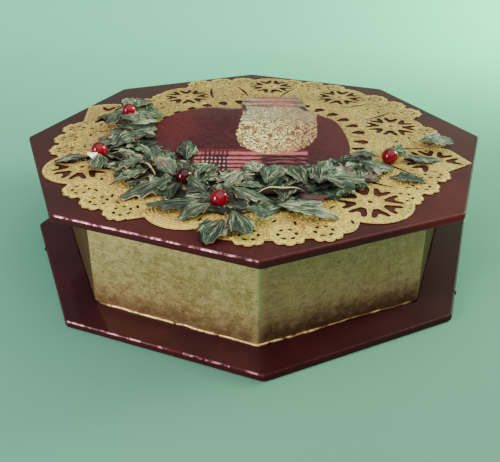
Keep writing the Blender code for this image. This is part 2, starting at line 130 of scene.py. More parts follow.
ARCH_SHARES = (0.575, 0.705)
ARCH_TURNS = (72, 89)
CHINKS = 22
CHINK_SHARES = (0.66, 0.96)
CHINK_SPREAD = 0.8
# Strides by chink and by fan that strew the chinks evenly, outward and sideways
CHINK_OUTWARD = (0.7549, 0.21)
CHINK_SIDEWAYS = (0.5698, 0.37)
CHINK_TURN = 2.4
CHINK_LENGTH = 0.0034
CHINK_WIDTH = 0.0013
WEB_SHARE = 0.80
WEB_SHOULDER = 0.25
RIM_STEPS = 2400
RIM_BEND = 0.00002
RIM_PLAIN_STEP = 8
HOLE_MARGIN = 0.0006

# Embossing of the lace: rings of dots and ridges by radius, and a net of dots between the rosettes,
# with its spacing and shift as shares of the dots' pitch. It starts at a share of the lace's radius.
EMBOSSED_FROM = 0.40
RIM_DOT_INSET = 0.0011
EYE_DOT_RING = 0.0024
SCALLOP_DOT_RING = 0.0049
NET_SPACING = 1.26
NET_SHIFT = 0.6
NET_CLEARANCE = 0.0125
RIDGE_STEP = 0.0008
ROSETTE_RIDGES = (0.0031, 0.0168)
PLAIN_ROSETTE_RIDGES = (0.0031, 0.0122, 0.0138, 0.0152, 0.0166)
SCALLOP_RIDGE = 0.0061
NET_SEED = 5
DOT_SEED = 3
POINTS_AT_ONCE = 500

# Holly leaves in the order they are laid: place of the stalk in hundredths of the lid's corner
# radius, heading in degrees, length and width in millimetres, rise of the midrib in degrees, fold
# direction, and shade from 0, dark, to 1, pale.
LEAVES = (
    (-60.9, 29.9, 97, 19, 9.0, 10, 1, 0.6), (-57.4, 29.2, 62, 13, 10.0, 7, 1, 0.5),
    (-63.5, 23.8, 192, 13, 10.0, 5, -1, 0.3), (-55.7, 23.0, -12, 16, 13.0, 6, -1, 0.5),
    (-59.0, 20.7, -85, 17, 10.0, 5, 1, 0.4), (-61.4, 15.7, -125, 12, 9.0, 5, -1, 0.2),
    (-52.2, 6.1, 122, 15, 12.0, 6, 1, 0.5), (-54.8, -7.0, 48, 18, 13.0, 7, -1, 0.4),
    (-59.7, -19.1, 48, 20, 15.0, 7, 1, 0.45),
    (-62.6, -27.3, -82, 14, 11.0, 5, -1, 0.35), (-67.5, -24.3, -152, 16, 9.0, 6, 1, 0.45),
    (-59.5, -25.2, -28, 16, 12.0, 6, 1, 0.45),
    (-40.9, -43.5, -153, 15, 10.0, 4, 1, 0.5), (-43.0, -39.1, 166, 14, 12.0, 6, -1, 0.4),
    (-31.1, -31.7, 163, 16, 12.0, 7, -1, 0.5), (-32.6, -39.6, 122, 18, 13.0, 6, 1, 0.4),
    (-27.4, -30.4, 94, 23, 11.5, 14, -1, 0.15),
    (-30.6, -50.1, -147, 25, 14.0, 10, -1, 0.2), (-24.0, -45.2, 55, 13, 12.0, 6, 1, 0.6),
    (-30.4, -45.6, 135, 14, 12.0, 6, 1, 0.5), (-17.8, -59.1, 132, 12, 12.0, 8, -1, 0.1),
    (-17.4, -66.6, -173, 24, 11.0, 6, -1, 0.25), (-16.3, -69.0, -138, 15, 11.0, 6, 1, 0.3),
    (-12.0, -76.5, -106, 18, 14.0, 4, 1, 0.35), (-8.3, -76.9, -70, 16, 12.5, 5, -1, 0.35),
    (-10.3, -69.2, -50, 12, 11.0, 6, 1, 0.3), (-9.0, -66.4, -12, 16, 9.0, 5, -1, 0.25),
    (-12.7, -61.4, 96, 9, 9.0, 9, 1, 0.3), (-0.9, -53.5, 155, 22, 14.0, 8, -1, 0.75),
    (-4.8, -52.2, -128, 12, 11.0, 8, 1, 0.65),
    (6.1, -76.5, -172, 12, 11.0, 4, -1, 0.3), (6.6, -70.0, 6, 18, 11.0, 7, -1, 0.6),
    (9.6, -73.9, -8, 20, 9.0, 5, 1, 0.65), (9.0, -66.4, 84, 12, 10.0, 9, 1, 0.25),
    (0.7, -46.5, 100, 18, 14.0, 9, -1, 0.7), (17.9, -53.0, 111, 19, 12.0, 11, 1, 0.35),
    (3.0, -53.0, 62, 15, 13.0, 7, 1, 0.5),
    (21.9, -56.9, 74, 20, 14.0, 8, -1, 0.45), (24.0, -56.5, 34, 20, 13.0, 7, 1, 0.5),
    (23.5, -59.5, -6, 16, 12.0, 6, -1, 0.45),
    (39.9, -35.7, -22, 16, 14.0, 6, -1, 0.4), (50.3, -44.3, -20, 15, 9.0, 5, 1, 0.25),
    (49.5, -28.3, 167, 14, 9.0, 8, 1, 0.2), (55.3, -26.0, 62, 12, 11.0, 10, -1, 0.35),
    (57.6, -29.4, 3, 20, 10.0, 6, -1, 0.3),
    (69.9, -12.0, 10, 18, 12.0, 8, 1, 0.55), (71.3, -15.7, -20, 13, 8.0, 5, -1, 0.5),
)
LEAF_STALK = 0.0010
LEAF_SPINES = 4
LEAF_BAY = 0.84
LEAF_FULLNESS = 0.85
LEAF_SWEEP = 0.10
LEAF_FOLD = 17.0
LEAF_THICKNESS = 0.00022
SPINE_SHARPNESS = 1.5
SPINE_STEPS = 6
ACROSS_STEPS = 5
# The garland's small leaves: rise of the midrib in degrees, steps of the mesh, and the most leaves
# to a square metre before their spacing thins them
SPRIG_RISE = 4
SPRIG_SPINE_STEPS = 4
SPRIG_ACROSS_STEPS = 3
SPRIG_DENSITY = 200000.0

BERRY_COUNT = 5
BERRY_SEGMENTS = 40
BERRY_RINGS = 24

# Lifted lips of the cut-outs: both ends of the lip in hundredths of the lid's corner radius, depth
# and height in millimetres, and shade.
LIPS = (
    (-0.5, -63.0, 16.5, -61.0, 6.0, 2.6, 0.45), (-58.8, -26.7, -49.9, -34.5, 4.0, 2.2, 0.3),
    (-46.4, -34.5, -38.2, -46.4, 4.0, 1.7, 0.5), (-15.9, -48.4, -12.5, -49.9, 3.0, 2.6, 0.9),
    (-29.4, -64.5, -26.6, -52.9, 4.5, 2.2, 0.2), (-24.0, -55.6, -17.3, -55.0, 4.0, 1.8, 0.2),
)
LIP_STEPS = 16
LIP_ROWS = 8
LIP_BEND = 2.8
LIP_WAVE = 0.22
LIP_TAPER = 0.6
LIP_CREST = (3, 5)
LIP_MAP = (0.5, 0.95)
LIP_PALE_SHADE = 0.4
LIP_THICKNESS = 0.0008
# Corners of the paper fleck beside a berry, in hundredths of the lid's corner radius
FLECK = ((-67.6, -26.4), (-63.4, -26.4), (-64.4, -31.2))
FLECK_RISE = 0.0012
# Glow of the fleck's paper: painted light, so that it shows white
FLECK_GLOW = 0.6
# Hollows between the leaves, where no sprig lies and the ground is painted dark as shade: place and
# half sizes in hundredths of the lid's corner radius
HOLLOWS = ((2.5, -59.2, 5.5, 2.6), (9.5, -58.4, 6.0, 2.8), (15.0, -55.8, 4.0, 2.6),
           (-28.6, -59.2, 4.0, 4.2), (-54.4, -28.4, 4.6, 3.0), (-61.0, -27.0, 3.6, 2.2),
           (-24.6, -50.2, 3.6, 3.0), (-18.6, -53.0, 3.2, 4.2))
SPRIG_CLEARANCE = 0.0075
# Where the garland's printed ground ends and leaves the lace bare, towards the berry on the right
GARLAND_END = 0.0535
# Outline of the picture in millimetres, anticlockwise from the right: the oval and its gathered top
PICTURE_OUTLINE = (
    (46.5, -10), (46, 2), (45.3, 11), (43.5, 19), (40, 24), (36, 28), (33, 34), (30.5, 39), (30, 46),
    (28.5, 54), (25.5, 60), (21, 61.5), (15, 60.5), (9, 59), (4, 60), (-1, 59.5), (-4.5, 56), (-6.5, 50),
    (-6.5, 44), (-6, 39), (-9, 39.5), (-14, 41.5), (-19, 43), (-25, 42.8), (-31, 40.5), (-37, 37),
    (-42, 32.5), (-46.5, 27), (-50, 20), (-51.6, 11), (-52, 0), (-51, -12), (-47, -26), (-38, -38),
    (-22, -48), (0, -52), (22, -50), (38, -40), (45, -26))
# Printed berries among the leaves: place and half sizes in hundredths of the lid's corner radius
PRINTED_BERRIES = ((-11.4, -73.5, 2.2, 1.6), (-7.5, -62.7, 1.8, 1.8), (5.7, -71.5, 2.4, 1.8),
                   (11.5, -78.4, 2.6, 1.6), (-42.6, -48.9, 2.6, 1.6), (33.7, -41.3, 2.4, 2.0),
                   (35.3, -48.4, 2.0, 2.4), (-50.0, -11.8, 2.2, 2.2), (-36.0, -40.0, 2.6, 1.4))
# Nubs of lacquer on the base's edge: place in metres and radius
NUBS = ((-0.1070, -0.0259, 0.0013), (0.0912, -0.0647, 0.0011))
NUB_DEPTH = 0.9

# Soft lights of the stage: name, setting of its power, place, target, width, height and colour
SOFTBOXES = (
    ("window", "window_power", (-0.80, -0.58, 0.36), (0, 0, 0.03), 0.24, 0.50, (1.0, 0.94, 0.88)),
    ("top_light", "top_power", (0.25, -0.25, 1.25), (0, 0, 0), 2.4, 2.0, (1.0, 0.93, 0.84)),
    ("wash_light", "wash_power", (0.85, 0.30, 0.45), (0.36, 0.40, 0), 0.4, 0.3, (0.60, 1.0, 0.72)),
)


def srgb(red, green, blue):
    """Linear colour of a paint named by its 0 to 255 screen values."""
    shares = [value / 255 for value in (red, green, blue)]
    return tuple(s / 12.92 if s <= 0.04045 else ((s + 0.055) / 1.055) ** 2.4 for s in shares)


# Tints of the finishes that aren't settings
LACQUER_FAR_SHADE = srgb(36, 16, 17)
LACQUER_LEFT_SHADE = srgb(40, 25, 24)
LACQUER_BASE_SHADE = srgb(40, 18, 34)
LACQUER_SHADED = srgb(40, 4, 7)
LACQUER_RED_EDGE = srgb(122, 14, 32)
GOLD_CORNER_HIGHLIGHT = srgb(226, 204, 152)
GOLD_UNDER_LID_LIGHT = srgb(244, 230, 160)
GOLD_SIDE_SHADE_TOP = srgb(78, 71, 53)
GOLD_SPECK = srgb(58, 48, 30)
BEAD_GOLD_DEEP = srgb(92, 66, 40)
BEAD_GOLD_SIDE_SHADE = srgb(34, 20, 16)
LACE_FAR_SHADE = srgb(170, 145, 99)
FLEECE_TAN = srgb(206, 166, 116)
FLEECE_TAN_ABOVE = srgb(156, 144, 118)
FLEECE_ABOVE = srgb(178, 172, 144)
FLEECE_RIGHT = srgb(166, 108, 92)
FLEECE_DEEP_ABOVE = srgb(116, 108, 88)
FLEECE_BLUSH = srgb(160, 80, 78)
COLLAR_FOLD = srgb(96, 72, 64)
COLLAR_PINK = srgb(158, 92, 86)
COLLAR_CREASE = srgb(80, 58, 54)
COLLAR_SHADE = srgb(92, 80, 74)
COLLAR_END = srgb(34, 26, 28)
RIBBON_PANE = srgb(208, 184, 172)
RIBBON_HEM = srgb(120, 30, 44)
CLOTH_RIGHT = srgb(74, 42, 43)
CLOTH_LEFT = srgb(98, 28, 36)
CLOTH_SHEEN_ABOVE = srgb(74, 50, 48)
PICTURE_EDGE = srgb(150, 130, 100)
LEAF_RIM = srgb(216, 190, 152)
LIP_CREAM = srgb(236, 214, 152)
LIP_BROWN = srgb(150, 112, 66)
GARLAND_BROWN = srgb(110, 72, 66)
GARLAND_HOLLOW_SHADE = srgb(24, 14, 10)
BEAD_SHADE_UNDER_LEAVES = srgb(34, 1, 6)
CUT_EDGE_DEEP = srgb(44, 42, 32)
# Bare card by what it is: its colour and its deeper colour
CARD_BACK = (srgb(150, 128, 96), srgb(92, 70, 50))
# Painted shade: dark card for the hollows under the lifted lips
LIP_HOLLOW_SHADE = (srgb(40, 26, 20), srgb(14, 9, 8))
FLECK_PAPER = (srgb(255, 255, 252), srgb(236, 234, 226))
NUB_LACQUER = (srgb(40, 20, 20), srgb(24, 12, 12))


def color_property(name, description, color):
    return FloatVectorProperty(name=name, description=description, default=color, size=3, min=0.0,
                               max=1.0, subtype="COLOR")


def length_property(name, description, length):
    return FloatProperty(name=name, description=description, default=length, min=0.0, precision=5,
                         subtype="DISTANCE", unit="LENGTH")


def share_property(name, description, share):
    return FloatProperty(name=name, description=description, default=share, min=0.0, max=1.0,
                         subtype="FACTOR")


def power_property(name, description, watts):
    return FloatProperty(name=name, description=description, default=watts, min=0.0, unit="POWER")


def node_points(name):
    """Corners of a solid of the frame, each place once."""
    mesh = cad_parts[name].data
    points = np.empty(len(mesh.vertices) * 3, np.float32)
    mesh.vertices.foreach_get("co", points)
    return np.unique(points.reshape(-1, 3).astype(float).round(6), axis=0)


def flat_reach(points, turn=0.0):
    """Distance from the axis to the flats of eight-sided points turned by an angle."""
    facing = HALF_SIDE_ANGLE + math.radians(turn)
    return float(np.max(points[:, :2] @ (math.cos(facing), math.sin(facing))))


def flat_distance(name, turn=0.0):
    """Distance from the axis to the flats of an eight-sided solid of the frame."""
    return flat_reach(node_points(name), turn)


LID_FLAT_RADIUS = flat_distance("lid")
PLACE_UNIT = LID_FLAT_RADIUS / math.cos(HALF_SIDE_ANGLE) / 100
LACE_RADIUS = LID_FLAT_RADIUS - LACE_MARGIN


class LacquerSettings(bpy.types.PropertyGroup):
    color: color_property("Lacquer", "Burgundy of the boards", srgb(74, 28, 28))
    deep_color: color_property("Deep lacquer", "Darker patches of the lacquer", srgb(56, 22, 23))
    # Specks of wear, and the painted highlight of lumps on the arrises
    worn_and_sheen_color: color_property("Worn lacquer", "Lighter, redder specks of the lacquer", srgb(110, 34, 42))
    edge_color: color_property("Lacquered edges", "Deep red of the boards' edges", srgb(58, 14, 20))
    # Painted highlight of the left arrises
    glint_color: color_property("Glints", "Bright rubbed patches of the left arrises", srgb(226, 160, 182))
    gloss_roughness: share_property("Gloss roughness", "Roughness of the clear coat", 0.07)
    coat: share_property("Coat", "Strength of the clear coat", 0.48)
    ripple: length_property("Ripple", "Depth of the unevenness left by the brush", 0.00005)


class GoldSettings(bpy.types.PropertyGroup):
    color: color_property("Gold paint", "Light gold of the tray's sides", srgb(210, 183, 132))
    deep_color: color_property("Deep gold", "Brown gold in the dabbed paint", srgb(172, 140, 88))
    # Painted shade of the side walls
    shade_color: color_property("Shaded gold", "Thin dark paint on the side walls", srgb(68, 54, 41))
    # Painted shade of the wall to the right
    right_wall_shade_color: color_property("Dull gold", "Tarnish of the wall to the right", srgb(203, 108, 112))
    # Painted shade and reflection at the walls' foot
    foot_shade_color: color_property("Foot of the walls", "Brown that shows at the walls' foot", srgb(88, 62, 50))
    # Light paint of the bead, also its painted highlight
    bead_color: color_property("Bead gold", "Bright paint of the bead at the foot", srgb(230, 198, 138))
    roughness: share_property("Roughness", "Roughness of the gold paint", 0.48)
    bead_radius: length_property("Foot bead", "Radius of the paint bead at the tray's foot", 0.0006)


class LaceSettings(bpy.types.PropertyGroup):
    color: color_property("Lace", "Gold of the paper lace", srgb(233, 205, 110))
    deep_color: color_property("Deep lace", "Brown of the lace's hollows", srgb(112, 86, 36))
    rosette_radius: length_property("Rosette radius", "Radius of a rosette's rim", 0.0175)
    dot_radius: length_property("Dot radius", "Radius of an embossed dot", 0.00056)
    ridge_radius: length_property("Ridge radius", "Half width of an embossed line", 0.00030)
    dot_pitch: length_property("Dot pitch", "Distance between embossed dots", 0.0019)


class PictureSettings(bpy.types.PropertyGroup):
    cloth: color_property("Sack cloth", "Printed burgundy cloth", srgb(83, 36, 41))
    cloth_deep: color_property("Sack folds", "Folds of the burgundy cloth", srgb(54, 24, 28))
    fleece: color_property("Fleece", "Light curls of the printed fleece", srgb(255, 238, 172))
    fleece_deep: color_property("Fleece hollows", "Dark gaps of the printed fleece", srgb(92, 56, 38))
    collar: color_property("Collar", "Gathered cloth above the fleece", srgb(166, 144, 124))
    ribbon: color_property("Ribbon", "Printed tartan ribbon", srgb(134, 66, 74))
    ribbon_pale: color_property("Ribbon stripes", "Pale stripes of the tartan", srgb(186, 112, 116))
    ribbon_deep: color_property("Ribbon folds", "Deep red of the tartan", srgb(58, 20, 30))
    ribbon_line: color_property("Ribbon lines", "Dark lines of the tartan", srgb(30, 20, 28))


class HollySettings(bpy.types.PropertyGroup):
    dark: color_property("Dark green", "Darkest green of the printed leaves", srgb(16, 28, 24))
    green: color_property("Green", "Middle green of the printed leaves", srgb(76, 94, 74))
    pale: color_property("Pale green", "Pale streaks of the printed leaves", srgb(206, 206, 174))
    brown: color_property("Brown", "Brownish pink of the printed berries", srgb(124, 66, 66))
    cut_edge: color_property("Cut edge", "Card showing at the cut edges", srgb(166, 140, 112))
    ripple: share_property("Ripple", "Waviness of a leaf's rim as a share of its width", 0.045)
    sprig_length: length_property("Sprig length", "Length of the garland's small leaves", 0.0180)
    sprig_width: length_property("Sprig width", "Width of the garland's small leaves", 0.0095)
    sprig_spacing: length_property("Sprig spacing", "Distance between the garland's small leaves", 0.0066)
    seed: IntProperty(name="Seed", description="Seed of the garland's arrangement", default=7)


class BeadSettings(bpy.types.PropertyGroup):
    color: color_property("Bead", "Red of the bead berries", srgb(134, 2, 30))
    deep_color: color_property("Deep bead", "Darker streaks in the beads", srgb(84, 2, 16))
    glow_color: color_property("Bead glow", "Light that comes through the beads", srgb(178, 2, 34))
    roughness: share_property("Roughness", "Roughness of the beads", 0.09)


class StageSettings(bpy.types.PropertyGroup):
    color: color_property("Floor", "Pale green of the floor", (0.115, 0.300, 0.212))
    left_color: color_property("Floor to the left", "Bluer green of the floor", (0.117, 0.380, 0.290))
    far_color: color_property("Backdrop", "Backdrop where it rises", (0.165, 0.69, 0.435))
    far_right_color: color_property("Backdrop to the right", "Yellower green of the backdrop",
                                    (0.140, 1.0, 0.53))
    sky: color_property("Sky", "Light of the room", (0.86, 0.80, 0.76))
    sky_strength: FloatProperty(name="Sky strength", description="Strength of the room's light",
                                default=0.35, min=0.0)
    window_power: power_property("Window power", "Power of the window light", 10.5)
    top_power: power_property("Top power", "Power of the light overhead", 26.0)
    wash_power: power_property("Wash power", "Power of the light on the backdrop", 16.5)


class Value:
    """A node's output that adds Math nodes when it is used in an expression."""

    def __init__(self, graph, socket):
        self.graph = graph
        self.socket = socket

    def math(self, operation, *others):
        values = dict(enumerate((self, *others)))
        return self.graph.node("ShaderNodeMath", {"operation": operation}, values)

    def __add__(self, other):
        return self.math("ADD", other)

    def __sub__(self, other):
        return self.math("SUBTRACT", other)

    def __mul__(self, other):
        return self.math("MULTIPLY", other)

    def __truediv__(self, other):
        return self.math("DIVIDE", other)

    def __lt__(self, other):
        return self.math("LESS_THAN", other)

    def __rsub__(self, other):
        return self.graph.node("ShaderNodeMath", {"operation": "SUBTRACT"}, {0: other, 1: self})

    __radd__ = __add__
    __rmul__ = __mul__

    def sine(self):
        return self.math("SINE")

    def size(self):
        return self.math("ABSOLUTE")

    def least(self, other):
        return self.math("MINIMUM", other)

    def most(self, other):
        return self.math("MAXIMUM", other)

    def equals(self, whole):
        return self.graph.node("FunctionNodeCompare", {"data_type": "INT", "operation": "EQUAL"},
                               {2: self, 3: whole})

    def ramp(self, low, high):
        """Smooth step from 0 at low to 1 at high."""
        return self.graph.node("ShaderNodeMapRange", {"interpolation_type": "SMOOTHSTEP"},
                               {"Value": self, "From Min": low, "From Max": high})

    def output(self, name):
        return Value(self.graph, self.socket.node.outputs[name])


class Graph:
    """Adds nodes to a tree, settings first and then the values or links of the sockets."""

    def __init__(self, tree):
        self.tree = tree

    def node(self, kind, settings=None, values=None, output=0):
        item = self.tree.nodes.new(kind)
        for name, setting in (settings or {}).items():
            setattr(item, name, setting)
        for name, value in (values or {}).items():
            self.feed(item.inputs[name], value)
        return Value(self, item.outputs[output])

    def feed(self, socket, value):
        if isinstance(value, Value):
            self.tree.links.new(value.socket, socket)
        elif socket.type == "RGBA":
            socket.default_value = (*value[:3], 1.0)
        else:
            socket.default_value = value

    def split(self, vector):
        """The three parts of a vector."""
        parts = self.node("ShaderNodeSeparateXYZ", None, {0: vector})
        return parts, parts.output("Y"), parts.output("Z")

    def join(self, x, y, z):
        return self.node("ShaderNodeCombineXYZ", None, {0: x, 1: y, 2: z})

    def places(self):
        """Object coordinates as a vector and as its three parts."""
        vector = self.node("ShaderNodeTexCoord", output="Object")
        return vector, *self.split(vector)

    def facing(self):
        """The three parts of the direction in which a place faces."""
        return self.split(self.node("ShaderNodeNewGeometry", output="Normal"))

    def stretch(self, vector, shares):
        return self.node("ShaderNodeVectorMath", {"operation": "MULTIPLY"}, {0: vector, 1: shares})

    def stir(self, vector, scale, reach):
        """A vector pushed about by a noise."""
        push = self.noise(vector, scale).output("Color")
        return self.node("ShaderNodeVectorMath", {"operation": "MULTIPLY_ADD"},
                         {0: push, 1: reach, 2: vector})

    def noise(self, vector, scale, detail=2.0, roughness=0.5, distortion=0.0):
        return self.node("ShaderNodeTexNoise", None, {"Vector": vector, "Scale": scale, "Detail": detail,
                                                      "Roughness": roughness, "Distortion": distortion})

    def mix(self, factor, first, second):
        """Colour between two colours."""
        return self.node("ShaderNodeMix", {"data_type": "RGBA"}, {0: factor, 6: first, 7: second}, 2)

    def layers(self, color, *layers):
        """A colour with others laid over it, each as far as its own mask lets it."""
        for mask, tint in layers:
            color = self.mix(mask, color, tint)
        return color

    def bump(self, height):
        return self.node("ShaderNodeBump", None, {"Height": height, "Distance": 1.0, "Strength": 1.0})

    def random_number(self, low, high, seed=0):
        """A random number between two for each place."""
        return self.node("FunctionNodeRandomValue", {"data_type": "FLOAT"},
                         {2: low, 3: high, "Seed": seed}, 1)

    def random_vector(self, low, high, seed):
        """A random vector between two for each place."""
        return self.node("FunctionNodeRandomValue", {"data_type": "FLOAT_VECTOR"},
                         {0: low, 1: high, "Seed": seed})


def new_material(name):
    material = bpy.data.materials.new(name)
    material.use_nodes = True
    return material, Graph(material.node_tree)


def finish_material(material, graph, **values):
    """Feed the surface shader; names use underscores for the spaces of its sockets."""
    shader = material.node_tree.nodes["Principled BSDF"]
    for name, value in values.items():
        graph.feed(shader.inputs[name.replace("_", " ")], value)
    return material


def lacquer_material(settings):
    """Glossy brushed lacquer, deeper on the edges, with painted shade far off, to the left and on the base
    board, and painted highlights as glints along the upper left arrises.
    """
    material, graph = new_material("burgundy_lacquer_finish")
    places, x, y, up = graph.places()
    rightward, backward, upward = graph.facing()
    base_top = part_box("base_board")[1].z
    arris = band(upward, 0.30, 0.90, 0.06)
    edge = 1 - upward.size().ramp(0.3, 0.7)
    leftward = (1 - rightward.ramp(-0.15, 0.0)) * (rightward - backward).ramp(-0.02, 0.10)
    frontward = 1 - backward.ramp(-0.8, -0.6)
    low_board = 1 - up.ramp(base_top, 2 * base_top)
    shadowed = low_board * x.ramp(-0.006, 0.006)
    far = y.ramp(-0.06, 0.05)
    left = 1 - x.ramp(-0.10, -0.02)
    cloud = graph.noise(places, 45, 4.0, 0.6)
    speck = graph.noise(places, 900, 2.0, 0.5)
    lump = graph.noise(places, 420, 3.0, 0.6)
    # painted highlight: glints along the upper left arrises, broken up by this noise and fainter on the base
    # board
    glinting = graph.noise(places, 190, 3.0, 0.7).ramp(0.42, 0.58)
    glint = arris * leftward * (glinting - low_board * 0.45).most(0.0)
    color = graph.layers(
        settings.deep_color,
        (cloud.ramp(0.35, 0.65), settings.color),
        (speck.ramp(0.60, 0.75) * 0.3, settings.worn_and_sheen_color),
        # painted shade on the far part of the boards
        (far * 0.35, LACQUER_FAR_SHADE),
        # painted shade to the left, less on the base board
        (left * (0.5 - low_board * 0.3), LACQUER_LEFT_SHADE),
        # painted shade and painted reflection on the base board, which lies under the lid's overhang
        (low_board * 0.4, LACQUER_BASE_SHADE),
        (shadowed * 0.7, LACQUER_SHADED),
        (edge * 0.75, settings.edge_color),
        (edge * frontward * x.ramp(0.045, 0.085) * (1 - low_board) * 0.7, LACQUER_RED_EDGE),
        # lighter lumps on all arrises as wear, and more on the left ones as a painted highlight
        (arris * lump.ramp(0.4, 0.6) * (leftward * 0.4 + 0.15), settings.worn_and_sheen_color),
        (glint * 0.85, settings.glint_color))
    height = graph.noise(places, 110, 3.0, 0.55) * settings.ripple + speck * (settings.ripple * 0.08)
    height = height + arris * lump * 0.00030
    coat = (1 - low_board * 0.4) * (1 - edge * 0.75) * (1 - shadowed * 0.70) * (1 - far * 0.3)
    coat = coat * (1 - arris * (1 - leftward * 0.6) * 0.95)
    return finish_material(
        material, graph, Base_Color=color, Metallic=glint * 0.8, Roughness=cloud * 0.2 + 0.40 - glint * 0.15,
        Specular_IOR_Level=0.1, Coat_Weight=coat * settings.coat, Coat_Roughness=settings.gloss_roughness,
        Normal=graph.bump(height))


def gold_material(settings):
    """Dabbed gold paint, with painted shade and reflection at the foot, painted shade to the right and on the
    side walls, and painted light at the front corner and under the lid.
    """
    material, graph = new_material("gold_paint_finish")
    places, x, y, up = graph.places()
    facing, backward, _ = graph.facing()
    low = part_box("tray")[0].z
    dab = graph.noise(places, 300, 5.0, 0.65, 0.4)
    cloud = graph.noise(places, 42, 3.0, 0.5)
    grain = graph.noise(places, 1100, 3.0, 0.7)
    stroke = graph.noise(graph.stretch(places, (1, 1, 5)), 150, 3.0, 0.6)
    speck = graph.noise(places, 640, 1.0).ramp(0.71, 0.75)
    blotch = dab * 0.35 + cloud * 0.15 + stroke * 0.15 + grain * 0.35
    foot = 1 - (up + (dab - 0.5) * 0.014).ramp(low, low + 0.016)
    rightward = band(facing, 0.25, 0.60, 0.1)
    side = facing.size().ramp(0.66, 0.88) * (1 - backward.ramp(-0.1, 0.1))
    corner = (1 - x.size().ramp(0.0, 0.0035)) * (1 - y.ramp(-0.02, 0.0))
    under_lid_light = up.ramp(low + 0.030, low + 0.044) * (1 - facing.ramp(-0.6, -0.2)) * (1 - side)
    side_shade = graph.mix(up.ramp(low, low + 0.03) * 0.6, settings.shade_color, GOLD_SIDE_SHADE_TOP)
    color = graph.layers(
        settings.deep_color,
        (blotch.ramp(0.41, 0.59), settings.color),
        # painted shade on the wall to the right, pinker to offset the green it reflects
        (rightward * 0.32, settings.right_wall_shade_color),
        # painted shade and painted reflection of the base at the walls' foot, deeper on the wall to the right
        (foot * (rightward * 0.2 + 0.7), settings.foot_shade_color),
        # painted highlight down the front corner
        (corner * 0.35, GOLD_CORNER_HIGHLIGHT),
        # painted light at the top of the front walls, where the lid's shadow falls
        (under_lid_light * 0.7, GOLD_UNDER_LID_LIGHT),
        # painted shade on the two side walls that face forward, lighter towards their top
        (side, side_shade),
        (speck * 0.6, GOLD_SPECK))
    height = dab * 0.00008 + cloud * 0.0002 + stroke * 0.00010 + grain * 0.00008
    roughness = dab * 0.3 + foot * 0.1 + side * 0.4 + (settings.roughness - 0.15)
    return finish_material(material, graph, Base_Color=color, Metallic=(1 - side) * 0.85,
                           Specular_IOR_Level=0.0, Roughness=roughness, Normal=graph.bump(height))


def bead_gold_material(settings):
    """Bright lumpy gold of the paint bead at the foot of the tray, with painted highlights to the left and
    painted shade on its side walls.
    """
    material, graph = new_material("gold_bead_finish")
    places, along, _, _ = graph.places()
    lump = graph.noise(places, 260, 3.0, 0.7)
    patch = graph.noise(places, 55, 2.0, 0.6)
    corner = flat_distance("tray") * math.tan(HALF_SIDE_ANGLE) * math.sqrt(2.0)
    # bright lumps: the bead's light paint, and a painted highlight where they gather to the left
    bright = lump.ramp(0.34, 0.54) * (patch + (1 - along.ramp(-0.01, 0.03)) * 0.35).ramp(0.40, 0.60)
    # painted shade on the bead along the side walls
    bead_side_shade = along.size().ramp(1.12 * corner, 1.30 * corner)
    color = graph.layers(BEAD_GOLD_DEEP, (bright, settings.bead_color), (bead_side_shade, BEAD_GOLD_SIDE_SHADE))
    return finish_material(material, graph, Base_Color=color, Metallic=(1 - bead_side_shade) * 0.6,
                           Roughness=bead_side_shade * 0.5 + 0.36, Specular_IOR_Level=0.0,
                           Normal=graph.bump(lump * 0.0002))


def lace_material(settings):
    """Embossed gold paper, mottled brown, with painted highlights on its raised dots and ridges and painted
    shade away from the front.
    """
    material, graph = new_material("gold_paper_finish")
    places, _, y, up = graph.places()
    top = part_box("doily")[1].z
    cloud = graph.noise(places, 60, 3.0, 0.6)
    grain = graph.noise(places, 620, 3.0, 0.6)
    cell = graph.node("ShaderNodeTexVoronoi", {"feature": "DISTANCE_TO_EDGE"},
                      {"Vector": graph.stir(places, 210, (0.003, 0.003, 0.003)), "Scale": 560.0})
    thread = 1 - cell.ramp(0.04, 0.30)
    # painted highlight on the raised dots and ridges
    raised_highlight = up.ramp(top, top + settings.dot_radius * 0.6)
    light = grain.ramp(0.35, 0.65) * 0.30 + cloud.ramp(0.3, 0.7) * 0.25 + thread * 0.25 + raised_highlight * 0.5
    # painted shade that grows away from the front
    away = y.ramp(-0.095, 0.03)
    light = light + (0.16 - away * 0.34)
    color = graph.layers(settings.deep_color, (light, settings.color), (away * 0.3, LACE_FAR_SHADE))
    height = grain * 0.00012 + thread * 0.00022
    return finish_material(material, graph, Base_Color=color, Metallic=0.15, Specular_IOR_Level=0.4,
                           Roughness=grain * 0.25 + 0.30, Normal=graph.bump(height))


def band(value, low, high, soft):
    """One between two limits that may be values themselves, with soft borders."""
    return (value - low).ramp(-soft, soft) * (high - value).ramp(-soft, soft)


